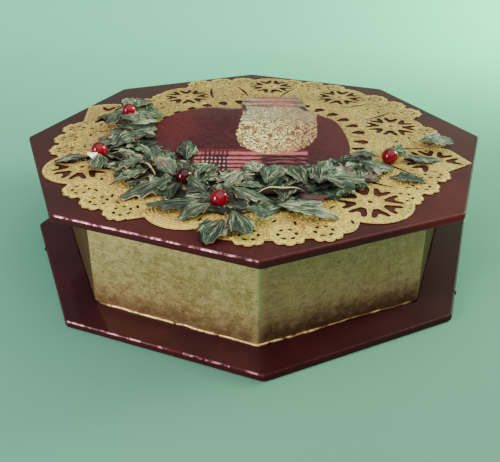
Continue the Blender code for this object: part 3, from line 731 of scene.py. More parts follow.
def fleece_print(settings, graph, places, x, y):
    """Colour, area and curls of the printed fleece: swirling strands, greyer above, pinker at the right."""
    combed = graph.stretch(graph.stir(places, 75, (0.020, 0.020, 0.0)), (1.0, 0.42, 1.0))
    strand = graph.noise(combed, 780, 1.0, 0.5)
    gap = 1 - (strand - 0.5).size().ramp(0.03, 0.13)
    lock = graph.noise(combed, 520, 2.0, 0.6).ramp(0.34, 0.56)
    above = y.ramp(6.0, 30.0)
    right = (x - y * 0.1).ramp(8.0, 27.0)
    blush = (1 - (y + 5.0).ramp(-21.0, -12.0)) * x.ramp(2.0, 12.0)
    fleece = graph.layers(
        graph.mix(above * 0.8, FLEECE_TAN, FLEECE_TAN_ABOVE),
        (lock, graph.mix(above * 0.85, settings.fleece, FLEECE_ABOVE)),
        (right * 0.65, FLEECE_RIGHT),
        (gap * 0.95, graph.mix(above * 0.9, settings.fleece_deep, FLEECE_DEEP_ABOVE)),
        (blush * 0.7, FLEECE_BLUSH))
    beside = (x - y * 0.10 - 11.3) / 20.6
    below = ((y - 2.0) / 28.0).least(0.0)
    area = (1 - beside * beside - below * below).ramp(-0.09, 0.09)
    return fleece, area, 1 - gap


def collar_print(settings, graph, places, x, y):
    """Colour and area of the gathered collar above the fleece, and the dark creases at its ends."""
    wander = graph.noise(places, 90, 3.0, 0.6)
    crease = graph.noise(places, 330, 3.0, 0.7).ramp(0.48, 0.66)
    fold = (y * 0.85 + x * 0.06 + wander * 9.0).sine()
    collar = graph.layers(
        COLLAR_FOLD,
        (fold.ramp(-1.2, 1.0), settings.collar),
        (band(x + wander * 8.0, 9.0, 28.0, 6.0) * 0.55, COLLAR_PINK),
        (crease * 0.6, COLLAR_CREASE),
        (band(x, 24.0, 32.0, 2.0) * 0.5, COLLAR_SHADE))
    area = (y + (x * 0.35).sine() * 1.2 - 41.0).ramp(-4.0, 4.0)
    left = band(x + y * 0.15, 0.2, 2.2, 0.4) * band(y, 35.5, 47.5, 1.5)
    right = band(x + y * 0.3, 39.0, 42.0, 0.5) * band(y, 35.5, 42.0, 1.0)
    return collar, area, (left + right) * 0.9


def ribbon_print(settings, graph, x, y, blur):
    """Colour and area of the tartan ribbon: lengthwise stripes, checked at its left, folded at its right."""
    sag = y + 25.0 + x * 0.02
    below = sag + 3.3
    row = (below.least(0.0) * 1.43 + below.most(0.0) * 0.97 - 1.57 + blur * 0.7).sine()
    check = band(x, -25.5, -12.4, 0.7)
    column = ((x + 19.5) * 3.14 + 1.57).sine()
    pane = row.ramp(0.2, 0.8) * (1 - column.ramp(-0.7, -0.2)) * (1 - y.ramp(-32.0, -28.0))
    gathered = x.ramp(0.0, 4.0)
    away_x = x - 10.0
    away_y = y + 52.0
    arc = (away_x * away_x + away_y * away_y).math("SQRT")
    crease = (arc * 1.75 + (x * 0.3).sine() * 1.2 + blur * 2.0).sine().ramp(-0.3, 0.5)
    ribbon = graph.layers(
        settings.ribbon_deep,
        (row.ramp(-0.90, -0.35), settings.ribbon),
        (band(row, 0.25, 0.95, 0.2) * 0.8, settings.ribbon_pale),
        (check * 0.35, settings.ribbon_deep),
        (check * column.ramp(0.0, 0.6) * 0.9, settings.ribbon_line),
        (check * pane * 0.8, RIBBON_PANE),
        (gathered * (1 - y.ramp(-28.5, -26.5)) * 0.6, settings.ribbon_deep),
        (y.ramp(-22.5, -21.5) * 0.7, RIBBON_HEM),
        (crease * gathered * (1 - (y + x * 0.1).ramp(-28.0, -26.0)) * 0.9, settings.ribbon_line))
    return ribbon, band(sag, -30.0, 4.6, 0.5) * band(x, -28.5, 24.5, 0.6)


def picture_material(settings):
    """Printed gift sack: burgundy cloth, a fleece lining turned out, a gathered collar, tartan ribbon.

    The print's own places are in millimetres, shaken a little so that its borders are soft.
    """
    material, graph = new_material("printed_card_finish")
    places, along, upward, _ = graph.places()
    blur = graph.noise(places, 260, 3.0, 0.6) - 0.5
    x = along / MM + blur * 2.4
    y = upward / MM + blur * 2.4
    fold = ((x - 12.0) * 0.16 + graph.noise(places, 28, 2.0) * 7.0).sine()
    knit = graph.noise(places, 520, 3.0, 0.75)
    ribbon, ribbon_area = ribbon_print(settings, graph, x, y, blur)
    fleece, fleece_area, curl = fleece_print(settings, graph, places, x, y)
    soft = graph.noise(places, 330, 3.0, 0.7) - 0.5
    fleece_spot = (fleece_area + soft * fleece_area * (1 - fleece_area) * 8.0).ramp(0.3, 0.7)
    collar, collar_area, creases = collar_print(settings, graph, places, x, y)
    cut_edge = graph.facing()[2] < 0.5
    color = graph.layers(
        settings.cloth_deep,
        (fold * 0.25 + knit.ramp(0.32, 0.68), settings.cloth),
        (x.ramp(14.0, 44.0) * 0.45, CLOTH_RIGHT),
        ((1 - x.ramp(-48.0, -18.0)) * y.ramp(-14.0, 4.0) * 0.4, CLOTH_LEFT),
        # painted sheen: the cloth browner towards the top
        (y.ramp(18.0, 42.0) * 0.45, CLOTH_SHEEN_ABOVE),
        (ribbon_area, ribbon),
        (fleece_spot, fleece),
        (collar_area, collar),
        (creases, COLLAR_END),
        (cut_edge * 0.8, PICTURE_EDGE))
    height = curl * fleece_area * 0.00004 + knit * 0.00005 + blur * 0.00006
    return finish_material(material, graph, Base_Color=color, Roughness=0.5, Specular_IOR_Level=0.12,
                           Normal=graph.bump(height))


def spots_mask(x, y, spots):
    """One on oval spots, each a place and half sizes, falling softly to nothing round them."""
    masks = []
    for place_x, place_y, half_x, half_y in spots:
        away_x = (x - place_x * PLACE_UNIT) / (half_x * PLACE_UNIT)
        away_y = (y - place_y * PLACE_UNIT) / (half_y * PLACE_UNIT)
        masks.append(1 - (away_x * away_x + away_y * away_y).ramp(0.5, 1.3))
    return sum(masks[1:], masks[0])


def holly_material(settings):
    """Printed holly leaf, on the leaf's own map: along the midrib and across from rim to rim."""
    material, graph = new_material("printed_holly_finish")
    places, x, y, _ = graph.places()
    along, beside, _ = graph.split(graph.node("ShaderNodeUVMap", {"uv_map": "leaf"}))
    side = beside * 2.0 - 1.0
    across = side.size()
    half = side.ramp(-0.02, 0.02)
    shade = graph.node("ShaderNodeAttribute", {"attribute_name": "shade"}, output="Fac")
    lean = across - along * 0.85
    streak = graph.noise(graph.join(lean * 7.0, along * 1.5 + half * 9.0, shade * 60.0), 1.0, 4.0, 0.62, 0.25)
    vein = graph.noise(graph.join(lean * 44.0, along * 5.0 + half * 5.0, shade * 90.0), 1.0)
    patch = graph.noise(places, 130)
    light = (streak - 0.5) * 3.0 + (vein - 0.5) * 3.0 + (patch - 0.5) * 1.2 + shade * 0.9 - 0.02
    light = light - half * 0.12
    rib = (1 - across.ramp(0.02, 0.07)) * (1 - along.ramp(0.6, 0.95))
    edge = (across + (patch - 0.5) * 1.1 + (streak - 0.5) * 0.6).ramp(1.0, 1.06)
    color = graph.layers(
        settings.dark,
        (light.ramp(-0.05, 0.50), settings.green),
        (light.ramp(0.52, 1.05), settings.pale),
        (rib * 0.25, settings.pale),
        (edge * 0.6, LEAF_RIM),
        (spots_mask(x, y, PRINTED_BERRIES) * 0.6, settings.brown),
        (shade.ramp(0.97, 1.0), graph.mix(patch.ramp(0.45, 0.60), LIP_CREAM, LIP_BROWN)))
    height = rib * -0.00012 + streak * 0.00030 + vein * 0.00012
    return finish_material(material, graph, Base_Color=color, Roughness=streak * 0.3 + 0.22,
                           Specular_IOR_Level=0.4, Normal=graph.bump(height))


def shared_holly(settings):
    """The finish of the printed leaves, made once."""
    return bpy.data.materials.get("printed_holly_finish") or holly_material(settings)


def garland_card_material(settings):
    """Printed ground of the garland: leafy patches, each streaked its own way, and painted shade in the hollows.
    """
    material, graph = new_material("garland_card_finish")
    places, x, y, _ = graph.places()
    cell = graph.node("ShaderNodeTexVoronoi", {"feature": "F1"}, {"Vector": places, "Scale": 105.0})
    chance, tone, _ = graph.split(cell.output("Color"))
    turn = chance * math.tau
    run = x * turn.math("COSINE") + y * turn.sine()
    rise = y * turn.math("COSINE") - x * turn.sine()
    streak = graph.noise(graph.join(run * 130.0, rise * 900.0, chance * 40.0), 1.0, 3.0, 0.6)
    cloud = graph.noise(places, 160, 3.0, 0.6, 0.5)
    light = (streak - 0.5) * 3.4 + (cloud - 0.5) * 1.5 + tone * 0.7
    color = graph.layers(
        settings.dark,
        (light.ramp(0.0, 0.55), settings.green),
        (light.ramp(0.65, 1.15), settings.pale),
        (graph.noise(places, 90).ramp(0.55, 0.66) * 0.7, GARLAND_BROWN),
        # painted shade in the hollows between the leaves
        (spots_mask(x, y, HOLLOWS), GARLAND_HOLLOW_SHADE))
    return finish_material(material, graph, Base_Color=color, Roughness=0.45,
                           Normal=graph.bump(streak * 0.0002))


def card_material(name, color, deep_color, low=0.3, high=0.7, glow=0.0):
    """Bare card, at a cut edge or on the back of a cut-out."""
    material, graph = new_material(name)
    places, _, _, _ = graph.places()
    grain = graph.noise(places, 800, 3.0)
    patch = graph.noise(places, 170, 2.0)
    return finish_material(
        material, graph, Base_Color=graph.mix((grain * 0.3 + patch * 0.7).ramp(low, high), deep_color, color),
        Roughness=0.7, Specular_IOR_Level=0.2, Emission_Color=color, Emission_Strength=glow,
        Normal=graph.bump(grain * 0.00004))


def bead_material(settings):
    """Glassy red, with painted light glowing away from the window, painted shade on top, darker towards the
    right, and most painted shade on the bead under the leaves.
    """
    material, graph = new_material("red_bead_finish")
    places, x, y, _ = graph.places()
    rightward, _, upward = graph.facing()
    cloud = graph.noise(places, 300, 2.0)
    glow = rightward.ramp(-0.3, 0.7) * (1 - upward.ramp(0.2, 0.9))
    right = x.ramp(0.03, 0.06)
    low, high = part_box("berry_3")
    middle = (low + high) / (2 * PLACE_UNIT)
    # painted shade on the bead that lies under the leaves
    shade_under_leaves = spots_mask(x, y, ((middle.x, middle.y, 6.0, 6.0),))
    color = graph.layers(
        settings.color,
        (cloud.ramp(0.3, 0.7) * 0.7, settings.deep_color),
        # painted shade on the beads' tops
        (upward.ramp(0.4, 1.0) * 0.6, settings.deep_color),
        (glow * 0.8, settings.glow_color),
        (right * 0.4, settings.deep_color),
        (shade_under_leaves * 0.85, BEAD_SHADE_UNDER_LEAVES))
    dull = (shade_under_leaves + right * 0.7).least(1.0)
    return finish_material(material, graph, Base_Color=color, Roughness=settings.roughness,
                           Specular_IOR_Level=0.4, Coat_Weight=0.12 - dull * 0.10, Coat_Roughness=0.04,
                           Normal=graph.bump(cloud * 0.00003))


def backdrop_material(settings):
    """Pale green sheet, a little bluer to the left, with painted light where it rises, most to the right, which
    is also yellower.
    """
    material, graph = new_material("backdrop_finish")
    _, along, away, _ = graph.places()
    near = graph.mix(along.ramp(-0.16, 0.04), settings.left_color, settings.color)
    # painted light: the rising part brighter, more so to the right
    far = graph.mix(along.ramp(0.0, 0.4), settings.far_color, settings.far_right_color)
    return finish_material(material, graph, Base_Color=graph.mix(away.ramp(0.0, 0.45), near, far),
                           Roughness=0.8, Specular_IOR_Level=0.1)


def link_piece(name, mesh, *materials):
    piece = bpy.data.objects.new(name, mesh)
    for material in materials:
        mesh.materials.append(material)
    bpy.context.scene.collection.objects.link(piece)
    return piece


def settle(piece, slot, *nodes):
    """Join a finished piece to the box in place of the nodes, which it hides; the slot is not used."""
    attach(piece, BODY)
    if nodes:
        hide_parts(*nodes)


def repaint(node, material):
    """Give a solid of the frame a finish of its own."""
    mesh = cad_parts[node].data
    mesh.materials.clear()
    mesh.materials.append(material)


def to_mesh(name, builder):
    mesh = bpy.data.meshes.new(name)
    builder.to_mesh(mesh)
    builder.free()
    return mesh


def smooth_faces(builder):
    for face in builder.faces:
        face.smooth = True


def welded(mesh):
    """A builder that holds a mesh with its doubled points joined."""
    builder = bmesh.new()
    builder.from_mesh(mesh)
    bmesh.ops.remove_doubles(builder, verts=builder.verts, dist=WELD)
    return builder


def baked_mesh(piece):
    """The mesh of an object as its modifiers leave it."""
    graph = bpy.context.evaluated_depsgraph_get()
    return bpy.data.meshes.new_from_object(piece.evaluated_get(graph), preserve_all_data_layers=True,
                                           depsgraph=graph)


def grow(name, mesh, tree, values):
    """A piece made by a Geometry Nodes tree from a mesh, as a plain mesh."""
    piece = link_piece(name, mesh)
    modifier = piece.modifiers.new("Grow", "NODES")
    modifier.node_group = tree
    for socket in tree.interface.items_tree:
        if socket.item_type == "SOCKET" and socket.name in values:
            modifier[socket.identifier] = values[socket.name]
    grown = baked_mesh(piece)
    piece.modifiers.remove(modifier)
    piece.data = grown
    return piece


def new_tree(name, inputs):
    """A Geometry Nodes tree with named inputs, and its input node's outputs by name."""
    tree = bpy.data.node_groups.new(name, "GeometryNodeTree")
    tree.interface.new_socket("Geometry", in_out="INPUT", socket_type="NodeSocketGeometry")
    for label, kind in inputs:
        tree.interface.new_socket(label, in_out="INPUT", socket_type=f"NodeSocket{kind}")
    tree.interface.new_socket("Geometry", in_out="OUTPUT", socket_type="NodeSocketGeometry")
    graph = Graph(tree)
    source = graph.node("NodeGroupInput")
    return tree, graph, source.output


def end_tree(graph, shape, material):
    """Close a tree with real, smooth, painted geometry."""
    real = graph.node("GeometryNodeRealizeInstances", None, {0: shape})
    smooth = graph.node("GeometryNodeSetShadeSmooth", None, {0: real})
    painted = graph.node("GeometryNodeSetMaterial", None, {0: smooth, "Material": material})
    graph.feed(graph.tree.nodes.new("NodeGroupOutput").inputs[0], painted)


def board_mesh(name, flat_radius, bottom, top, turn=0.0):
    """A flat eight-sided board with softened corners and arrises."""
    block = bmesh.new()
    corner_radius = flat_radius / math.cos(HALF_SIDE_ANGLE)
    bmesh.ops.create_cone(block, cap_ends=True, segments=SIDES, radius1=corner_radius,
                          radius2=corner_radius, depth=top - bottom)
    uprights = [edge for edge in block.edges if abs(edge.verts[0].co.z - edge.verts[1].co.z) > MM]
    bmesh.ops.bevel(block, geom=uprights, offset=BOARD_CORNER_ROUND * math.tan(HALF_SIDE_ANGLE),
                    offset_type="OFFSET", segments=BOARD_ROUND_STEPS, profile=0.5, affect="EDGES")
    caps = [face for face in block.faces if abs(face.normal.z) > 0.5]
    arrises = list({edge for face in caps for edge in face.edges})
    bmesh.ops.bevel(block, geom=arrises, offset=BOARD_ARRIS_ROUND, offset_type="OFFSET",
                    segments=BOARD_ROUND_STEPS, profile=0.5, affect="EDGES")
    smooth_faces(block)
    place = Matrix.Translation((0, 0, (top + bottom) / 2)) @ Matrix.Rotation(math.radians(turn), 4, "Z")
    bmesh.ops.transform(block, matrix=place, verts=block.verts)
    mesh = to_mesh(name, block)
    mesh.set_sharp_from_angle(angle=math.radians(SHARP_ANGLE))
    return mesh


def web_radii(angles):
    """Distance to the plain web: just inside the scallops, less beside a rosette."""
    radii = np.full(len(angles), WEB_SHARE * LACE_RADIUS)
    for number, (start, _, fan_reach, _) in enumerate(ROSETTES):
        gap = (ROSETTES[(number + 1) % len(ROSETTES)][0] - start) % 360
        place = (np.degrees(angles) - start) % 360 / gap
        ramp = np.clip(np.minimum(place, 1 - place) / WEB_SHOULDER, 0, 1)
        full = fan_reach * LACE_RADIUS - SCALLOP_NOTCH
        web = WEB_SHARE * LACE_RADIUS
        radii = np.where(place < 1, web + (full - web) * ramp * ramp * (3 - 2 * ramp), radii)
    return radii


def fan_angle(number, place):
    """Angle at a share of the way from one rosette to the next."""
    angle = ROSETTES[number][0]
    gap = (ROSETTES[(number + 1) % len(ROSETTES)][0] - angle) % 360
    return math.radians(angle + gap * place)


def fan_scallops(number):
    """Centres of the scallops in the fan after a rosette."""
    distance = ROSETTES[number][2] * LACE_RADIUS - KNOB_RING - KNOB_RADIUS * 0.8
    turn = SCALLOP_SPACING / distance
    middle = fan_angle(number, 0.5)
    return [cmath.rect(distance, middle + turn * (step - (SCALLOPS - 1) / 2)) for step in range(SCALLOPS)]


def rosette_centres():
    return [cmath.rect(share * LACE_RADIUS, math.radians(angle)) for angle, share, _, _ in ROSETTES]


def lace_lobes(settings):
    """Round lobes of the lace's rim: centre, radius and straight trims."""
    lobes = []
    for number, centre in enumerate(rosette_centres()):
        trims = [(math.radians(turn), reach * LACE_RADIUS) for turn, reach in ROSETTES[number][3]]
        lobes.append((centre, settings.rosette_radius, trims))
        for middle in fan_scallops(number):
            lobes.append((middle, SCALLOP_CORE, ()))
            for step in range(KNOBS):
                turn = cmath.phase(middle) + (step - (KNOBS - 1) / 2) * KNOB_TURN
                lobes.append((middle + cmath.rect(KNOB_RING, turn), KNOB_RADIUS, ()))
    return lobes


def rim_radii(settings, angles):
    """Distance from the middle of the lid to the lace's rim along each angle."""
    radii = web_radii(angles)
    for centre, radius, trims in lace_lobes(settings):
        along = abs(centre) * np.cos(angles - cmath.phase(centre))
        spare = radius ** 2 - abs(centre) ** 2 + along ** 2
        reach = np.where((spare > 0) & (along > 0), along + np.sqrt(np.maximum(spare, 0)), 0)
        for turn, distance in trims:
            facing = np.maximum(np.cos(angles - turn), MM)
            reach = np.minimum(reach, distance / facing)
        radii = np.maximum(radii, reach)
    return radii


def rim_outline(settings):
    """Points of the lace's rim, denser where it bends."""
    angles = np.arange(RIM_STEPS) * math.tau / RIM_STEPS
    radii = rim_radii(settings, angles)
    bend = np.abs(np.roll(radii, 1) + np.roll(radii, -1) - 2 * radii)
    kept = (bend > RIM_BEND) | (np.arange(RIM_STEPS) % RIM_PLAIN_STEP == 0)
    return (radii * np.exp(1j * angles))[kept]


def softened(points):
    """A closed outline with each corner cut once."""
    following = np.roll(points, -1)
    return np.stack([points * 0.75 + following * 0.25, points * 0.25 + following * 0.75], 1).ravel()


def oval_hole(centre, angle, length, width, corners=8):
    turns = np.arange(corners) * math.tau / corners
    shape = np.cos(turns) * length / 2 + 1j * np.sin(turns) * width / 2
    return centre + shape * cmath.rect(1, angle)


def bent_slit(centre, angle, bow):
    """A long thin opening that bends to one side."""
    shares = np.linspace(-1, 1, 7)
    line = shares * SLIT_LENGTH / 2 + 1j * bow * (1 - shares ** 2)
    half = 1j * SLIT_WIDTH / 2 * (1 - 0.6 * np.abs(shares))
    return centre + np.concatenate([line + half, (line - half)[::-1]]) * cmath.rect(1, angle)


def wedge_hole(centre, angle, length, width):
    shape = np.array([-0.5 * length, 0.5 * length + 0.5j * width, 0.5 * length - 0.5j * width])
    return softened(centre + shape * cmath.rect(1, angle))


def strewn(step, number, strides):
    """A share between 0 and 1 that strews the steps evenly, and otherwise in each fan."""
    return (step * strides[0] + number * strides[1]) % 1


def fan_holes(number):
    """Openings of a fan: eyelet rings in the scallops, two slits and strewn chinks."""
    holes = []
    for centre in fan_scallops(number):
        outward = cmath.phase(centre)
        for step in range(EYELETS):
            turn = outward + math.tau * (step + 0.5) / EYELETS
            holes.append(oval_hole(centre + cmath.rect(EYELET_RING, turn), turn + math.pi / 2,
                                   EYELET_LENGTH, EYELET_WIDTH))
    middle = fan_angle(number, 0.5)
    for side in (-1, 1):
        outward = middle + side * SLIT_TILT / 2
        holes.append(bent_slit(cmath.rect(SLIT_SHARE * LACE_RADIUS, outward), outward - side * SLIT_TILT,
                               side * SLIT_BOW))
    low, high = CHINK_SHARES
    for step in range(CHINKS):
        share = low + (high - low) * strewn(step, number, CHINK_OUTWARD)
        turn = fan_angle(number, 0.5 + CHINK_SPREAD * (strewn(step, number, CHINK_SIDEWAYS) - 0.5))
        holes.append(oval_hole(cmath.rect(share * LACE_RADIUS, turn), CHINK_TURN * step, CHINK_LENGTH,
                               CHINK_WIDTH))
    return holes


def lace_holes(settings):
    """Openings of the lace, less those too near the rim or one another."""
    holes = []
    for number, centre in enumerate(rosette_centres()):
        facing = cmath.phase(centre)
        holes.append(oval_hole(centre, 0.0, ROSETTE_EYE * 2, ROSETTE_EYE * 2))
        for petal in range(PETALS if number != PLAIN_ROSETTE else 0):
            turn = facing + math.tau * (petal + 0.5) / PETALS
            shape = np.array([cmath.rect(reach * MM, turn + spread) for reach, spread in PETAL_SHAPE])
            holes.append(softened(centre + shape))
    low, high = (share * LACE_RADIUS for share in ARCH_SHARES)
    turns = np.radians(np.linspace(*ARCH_TURNS, 9))
    holes.append(np.concatenate([low * np.exp(1j * turns), high * np.exp(1j * turns[::-1])]))
    for step in range(int(360 / WINDOW_TURN)):
        turn = math.radians(step * WINDOW_TURN + FIRST_WINDOW)
        holes.append(wedge_hole(cmath.rect(WINDOW_SHARE * LACE_RADIUS, turn), turn, WINDOW_LENGTH,
                                WINDOW_WIDTH))
    for number in range(len(ROSETTES)):
        holes += fan_holes(number)
    kept = []
    taken = np.empty(0, complex)
    for hole in holes:
        room = rim_radii(settings, np.angle(hole)) - np.abs(hole)
        apart = np.min(np.abs(hole[:, None] - taken), initial=1.0)
        if np.min(room) > HOLE_MARGIN * 1.5 and apart > HOLE_MARGIN:
            kept.append(hole)
            taken = np.concatenate([taken, dense_outline(hole)])
    return kept


def dense_outline(points, step=0.0004):
    """Points along a closed outline, no further apart than a step."""
    parts = []
    for start, end in zip(points, np.roll(points, -1)):
        count = max(1, int(abs(end - start) / step))
        parts.append(start + (end - start) * np.arange(count) / count)
    return np.concatenate(parts)


def flat_piece(name, outlines, bottom, top, material):
    """A flat cut-out: a filled 2D curve whose first outline is the rim and the rest are holes."""
    curve = bpy.data.curves.new(name, "CURVE")
    curve.dimensions = "2D"
    curve.fill_mode = "BOTH"
    curve.extrude = (top - bottom) / 2
    for outline in outlines:
        spline = curve.splines.new("POLY")
        spline.points.add(len(outline) - 1)
        spline.points.foreach_set("co", np.stack(
            [outline.real, outline.imag, 0 * outline.real, 1 + 0 * outline.real], 1).ravel())
        spline.use_cyclic_u = True
    holder = bpy.data.objects.new(name, curve)
    bpy.context.scene.collection.objects.link(holder)
    mesh = baked_mesh(holder)
    bpy.data.objects.remove(holder)
    builder = welded(mesh)
    bmesh.ops.translate(builder, verts=builder.verts, vec=(0, 0, (top + bottom) / 2))
    return link_piece(name, to_mesh(name, builder), material)


def is_within(points, outline):
    """Which points lie within a closed outline."""
    inside = np.zeros(len(points), bool)
    for start, end in zip(outline, np.roll(outline, -1)):
        if start.imag != end.imag:
            spans = (start.imag > points.imag) != (end.imag > points.imag)
            crossing = start.real + (points.imag - start.imag) / (end.imag - start.imag) * (end - start).real
            inside ^= spans & (points.real < crossing)
    return inside


def ring(centre, radius, step):
    turns = np.arange(0, math.tau, step / radius)
    return centre + radius * np.exp(1j * turns)


def embossed_dots(settings, rim, holes):
    """Places of the embossed dots: along the rim, round eyes and eyelet rings, and in a net."""
    pitch = settings.dot_pitch
    edge = dense_outline(rim, pitch)
    dots = [edge * (1 - RIM_DOT_INSET / np.abs(edge))]
    for number, centre in enumerate(rosette_centres()):
        dots.append(ring(centre, EYE_DOT_RING, pitch * 0.7))
        for middle in fan_scallops(number):
            dots.append(ring(middle, SCALLOP_DOT_RING, pitch * 0.9))
    rows = np.arange(-LACE_RADIUS, LACE_RADIUS, pitch * NET_SPACING)
    shifts = (np.arange(len(rows)) % 2) * pitch * NET_SHIFT
    net = (rows[:, None] + 1j * rows[None, :] + shifts[None, :]).ravel()
    chance = np.random.default_rng(NET_SEED)
    wander = chance.random(len(net)) - 0.5 + 1j * chance.random(len(net)) - 0.5j
    net = net + cmath.rect(1, 0.4) * pitch * wander
    between = np.min(np.abs(net[:, None] - np.array(rosette_centres())), axis=1) > NET_CLEARANCE
    dots.append(net[between])
    return keep_clear(settings, np.concatenate(dots), holes, settings.dot_radius * 1.6)


def keep_clear(settings, points, holes, margin):
    """Points on the lace that keep clear of its rim and openings and of what covers its middle."""
    openings = np.concatenate([dense_outline(hole, MM) for hole in holes])
    room = rim_radii(settings, np.angle(points)) - np.abs(points)
    points = points[(room > margin) & (np.abs(points) > EMBOSSED_FROM * LACE_RADIUS)]
    clear = np.ones(len(points), bool)
    for start in range(0, len(points), POINTS_AT_ONCE):
        part = slice(start, start + POINTS_AT_ONCE)
        clear[part] = np.min(np.abs(points[part, None] - openings), axis=1) > margin
    points = points[clear]
    for hole in holes:
        near = np.abs(points - hole.mean()) < SLIT_LENGTH
        near[near] = is_within(points[near], hole)
        points = points[~near]
    return points


def embossed_lines(settings, holes):
    """Embossed rings, as runs of points that break off at the rim and at openings."""
    rings = []
    for number, centre in enumerate(rosette_centres()):
        radii = PLAIN_ROSETTE_RIDGES if number == PLAIN_ROSETTE else ROSETTE_RIDGES
        rings += [ring(centre, radius, RIDGE_STEP) for radius in radii]
        rings += [ring(middle, SCALLOP_RIDGE, RIDGE_STEP) for middle in fan_scallops(number)]
    runs = []
    for circle in rings:
        kept = keep_clear(settings, circle, holes, settings.ridge_radius * 1.5)
        breaks = np.nonzero(np.abs(np.diff(kept)) > RIDGE_STEP * 1.5)[0] + 1
        runs += [run for run in np.split(kept, breaks) if len(run) > 2]
    return runs


def tube(graph, line, sides, radius, closed_ends):
    """A round tube along a line."""
    profile = graph.node("GeometryNodeCurvePrimitiveCircle", None, {"Resolution": sides, "Radius": radius})
    return graph.node("GeometryNodeCurveToMesh", None,
                      {"Curve": line, "Profile Curve": profile, "Fill Caps": closed_ends})


def drop_near(graph, points, shape, part, distance):
    """Points less those that lie nearer than a distance to a shape's points or edges."""
    away = graph.node("GeometryNodeProximity", {"target_element": part}, {0: shape}, "Distance")
    return graph.node("GeometryNodeDeleteGeometry", None, {0: points, "Selection": away < distance})


def emboss_tree():
    """Domes on loose points and ridges along edges."""
    tree, graph, given = new_tree("lace_embossing", (
        ("Dot Radius", "Float"), ("Ridge Radius", "Float"), ("Seed", "Int"), ("Material", "Material")))
    loose = graph.node("GeometryNodeInputMeshVertexNeighbors").equals(0)
    ball = graph.node("GeometryNodeMeshUVSphere", None, {"Segments": 6, "Rings": 4, "Radius": 1.0})
    dome = graph.node("GeometryNodeTransform", None, {0: ball, "Scale": (1.0, 1.0, 0.7)})
    size = graph.random_number(0.75, 1.2, given("Seed")) * given("Dot Radius")
    dots = graph.node("GeometryNodeInstanceOnPoints", None, {
        "Points": given("Geometry"), "Selection": loose, "Instance": dome, "Scale": size})
    lines = graph.node("GeometryNodeMeshToCurve", None, {0: given("Geometry")})
    ridges = tube(graph, lines, 5, given("Ridge Radius"), True)
    both = graph.node("GeometryNodeJoinGeometry")
    for shape in (dots, ridges):
        tree.links.new(shape.socket, both.socket.node.inputs[0])
    end_tree(graph, both, given("Material"))
    return tree


def foot_bead_tree():
    """An uneven bead of paint along a closed line."""
    tree, graph, given = new_tree("foot_bead", (
        ("Radius", "Float"), ("Step", "Float"), ("Material", "Material")))
    line = graph.node("GeometryNodeMeshToCurve", None, {0: given("Geometry")})
    points = graph.node("GeometryNodeResampleCurve", {"mode": "LENGTH"},
                        {"Curve": line, "Length": given("Step")})
    lump = graph.node("ShaderNodeTexNoise", None, {"Scale": 330.0, "Detail": 3.0, "Roughness": 0.7})
    wander = graph.node("ShaderNodeTexNoise", None, {"Scale": 90.0, "Detail": 2.0}, "Color")
    centred = graph.node("ShaderNodeVectorMath", {"operation": "SUBTRACT"}, {0: wander, 1: (0.5, 0.5, 0.5)})
    shift = graph.node("ShaderNodeVectorMath", {"operation": "SCALE"},
                       {0: centred, "Scale": FOOT_BEAD_WANDER})
    moved = graph.node("GeometryNodeSetPosition", None, {0: points, "Offset": shift})
    thick = (lump * 5.0 - 1.7).most(0.25)
    uneven = graph.node("GeometryNodeSetCurveRadius", None, {0: moved, "Radius": thick})
    end_tree(graph, tube(graph, uneven, 7, given("Radius"), False), given("Material"))
    return tree


def sprig_tree():
    """Small leaves strewn over a surface, each with a turn, a size and a shade, clear of marked places."""
    tree, graph, given = new_tree("garland_sprigs", (
        ("Leaf", "Object"), ("Clearings", "Object"), ("Spacing", "Float"), ("Margin", "Float"),
        ("Clearance", "Float"), ("Seed", "Int"), ("Material", "Material")))
    seed = given("Seed")
    points = graph.node("GeometryNodeDistributePointsOnFaces", {"distribute_method": "POISSON"}, {
        "Mesh": given("Geometry"), "Distance Min": given("Spacing"), "Density Max": SPRIG_DENSITY,
        "Seed": seed})
    single = graph.node("GeometryNodeInputMeshEdgeNeighbors").equals(1)
    rim = graph.node("GeometryNodeMeshToCurve", None, {0: given("Geometry"), "Selection": single})
    rim = graph.node("GeometryNodeCurveToMesh", None, {"Curve": rim})
    points = drop_near(graph, points, rim, "EDGES", given("Margin"))
    marks = graph.node("GeometryNodeObjectInfo", None, {"Object": given("Clearings")}, "Geometry")
    points = drop_near(graph, points, marks, "POINTS", given("Clearance"))
    lift = graph.random_vector((0.0, 0.0, 0.0001), (0.0, 0.0, 0.0007), seed)
    points = graph.node("GeometryNodeSetPosition", None, {0: points, "Offset": lift})
    leaf = graph.node("GeometryNodeObjectInfo", None, {"Object": given("Leaf")}, "Geometry")
    sprigs = graph.node("GeometryNodeInstanceOnPoints", None, {
        "Points": points, "Instance": leaf, "Scale": graph.random_number(0.65, 1.15, seed),
        "Rotation": graph.random_vector((-0.07, -0.09, 0.0), (0.07, -0.01, math.tau), seed)})
    toned = graph.node("GeometryNodeStoreNamedAttribute", {"data_type": "FLOAT", "domain": "INSTANCE"},
                       {0: sprigs, "Name": "shade", "Value": graph.random_number(0.0, 0.85)})
    end_tree(graph, toned, given("Material"))
    return tree


def sheet_faces(builder, spots, rows, low=0.0, high=1.0):
    """Join rows of points into a smooth sheet, mapped by row and across from low to high."""
    across = len(rows[0]) - 1
    for station, (near, far) in enumerate(zip(rows, rows[1:])):
        for step in range(across):
            face = builder.faces.new((near[step], far[step], far[step + 1], near[step + 1]))
            face.smooth = True
            for loop, (ahead, beside) in zip(face.loops, ((0, 0), (1, 0), (1, 1), (0, 1))):
                loop[spots].uv = ((station + ahead) / (len(rows) - 1),
                                  low + (step + beside) / across * (high - low))


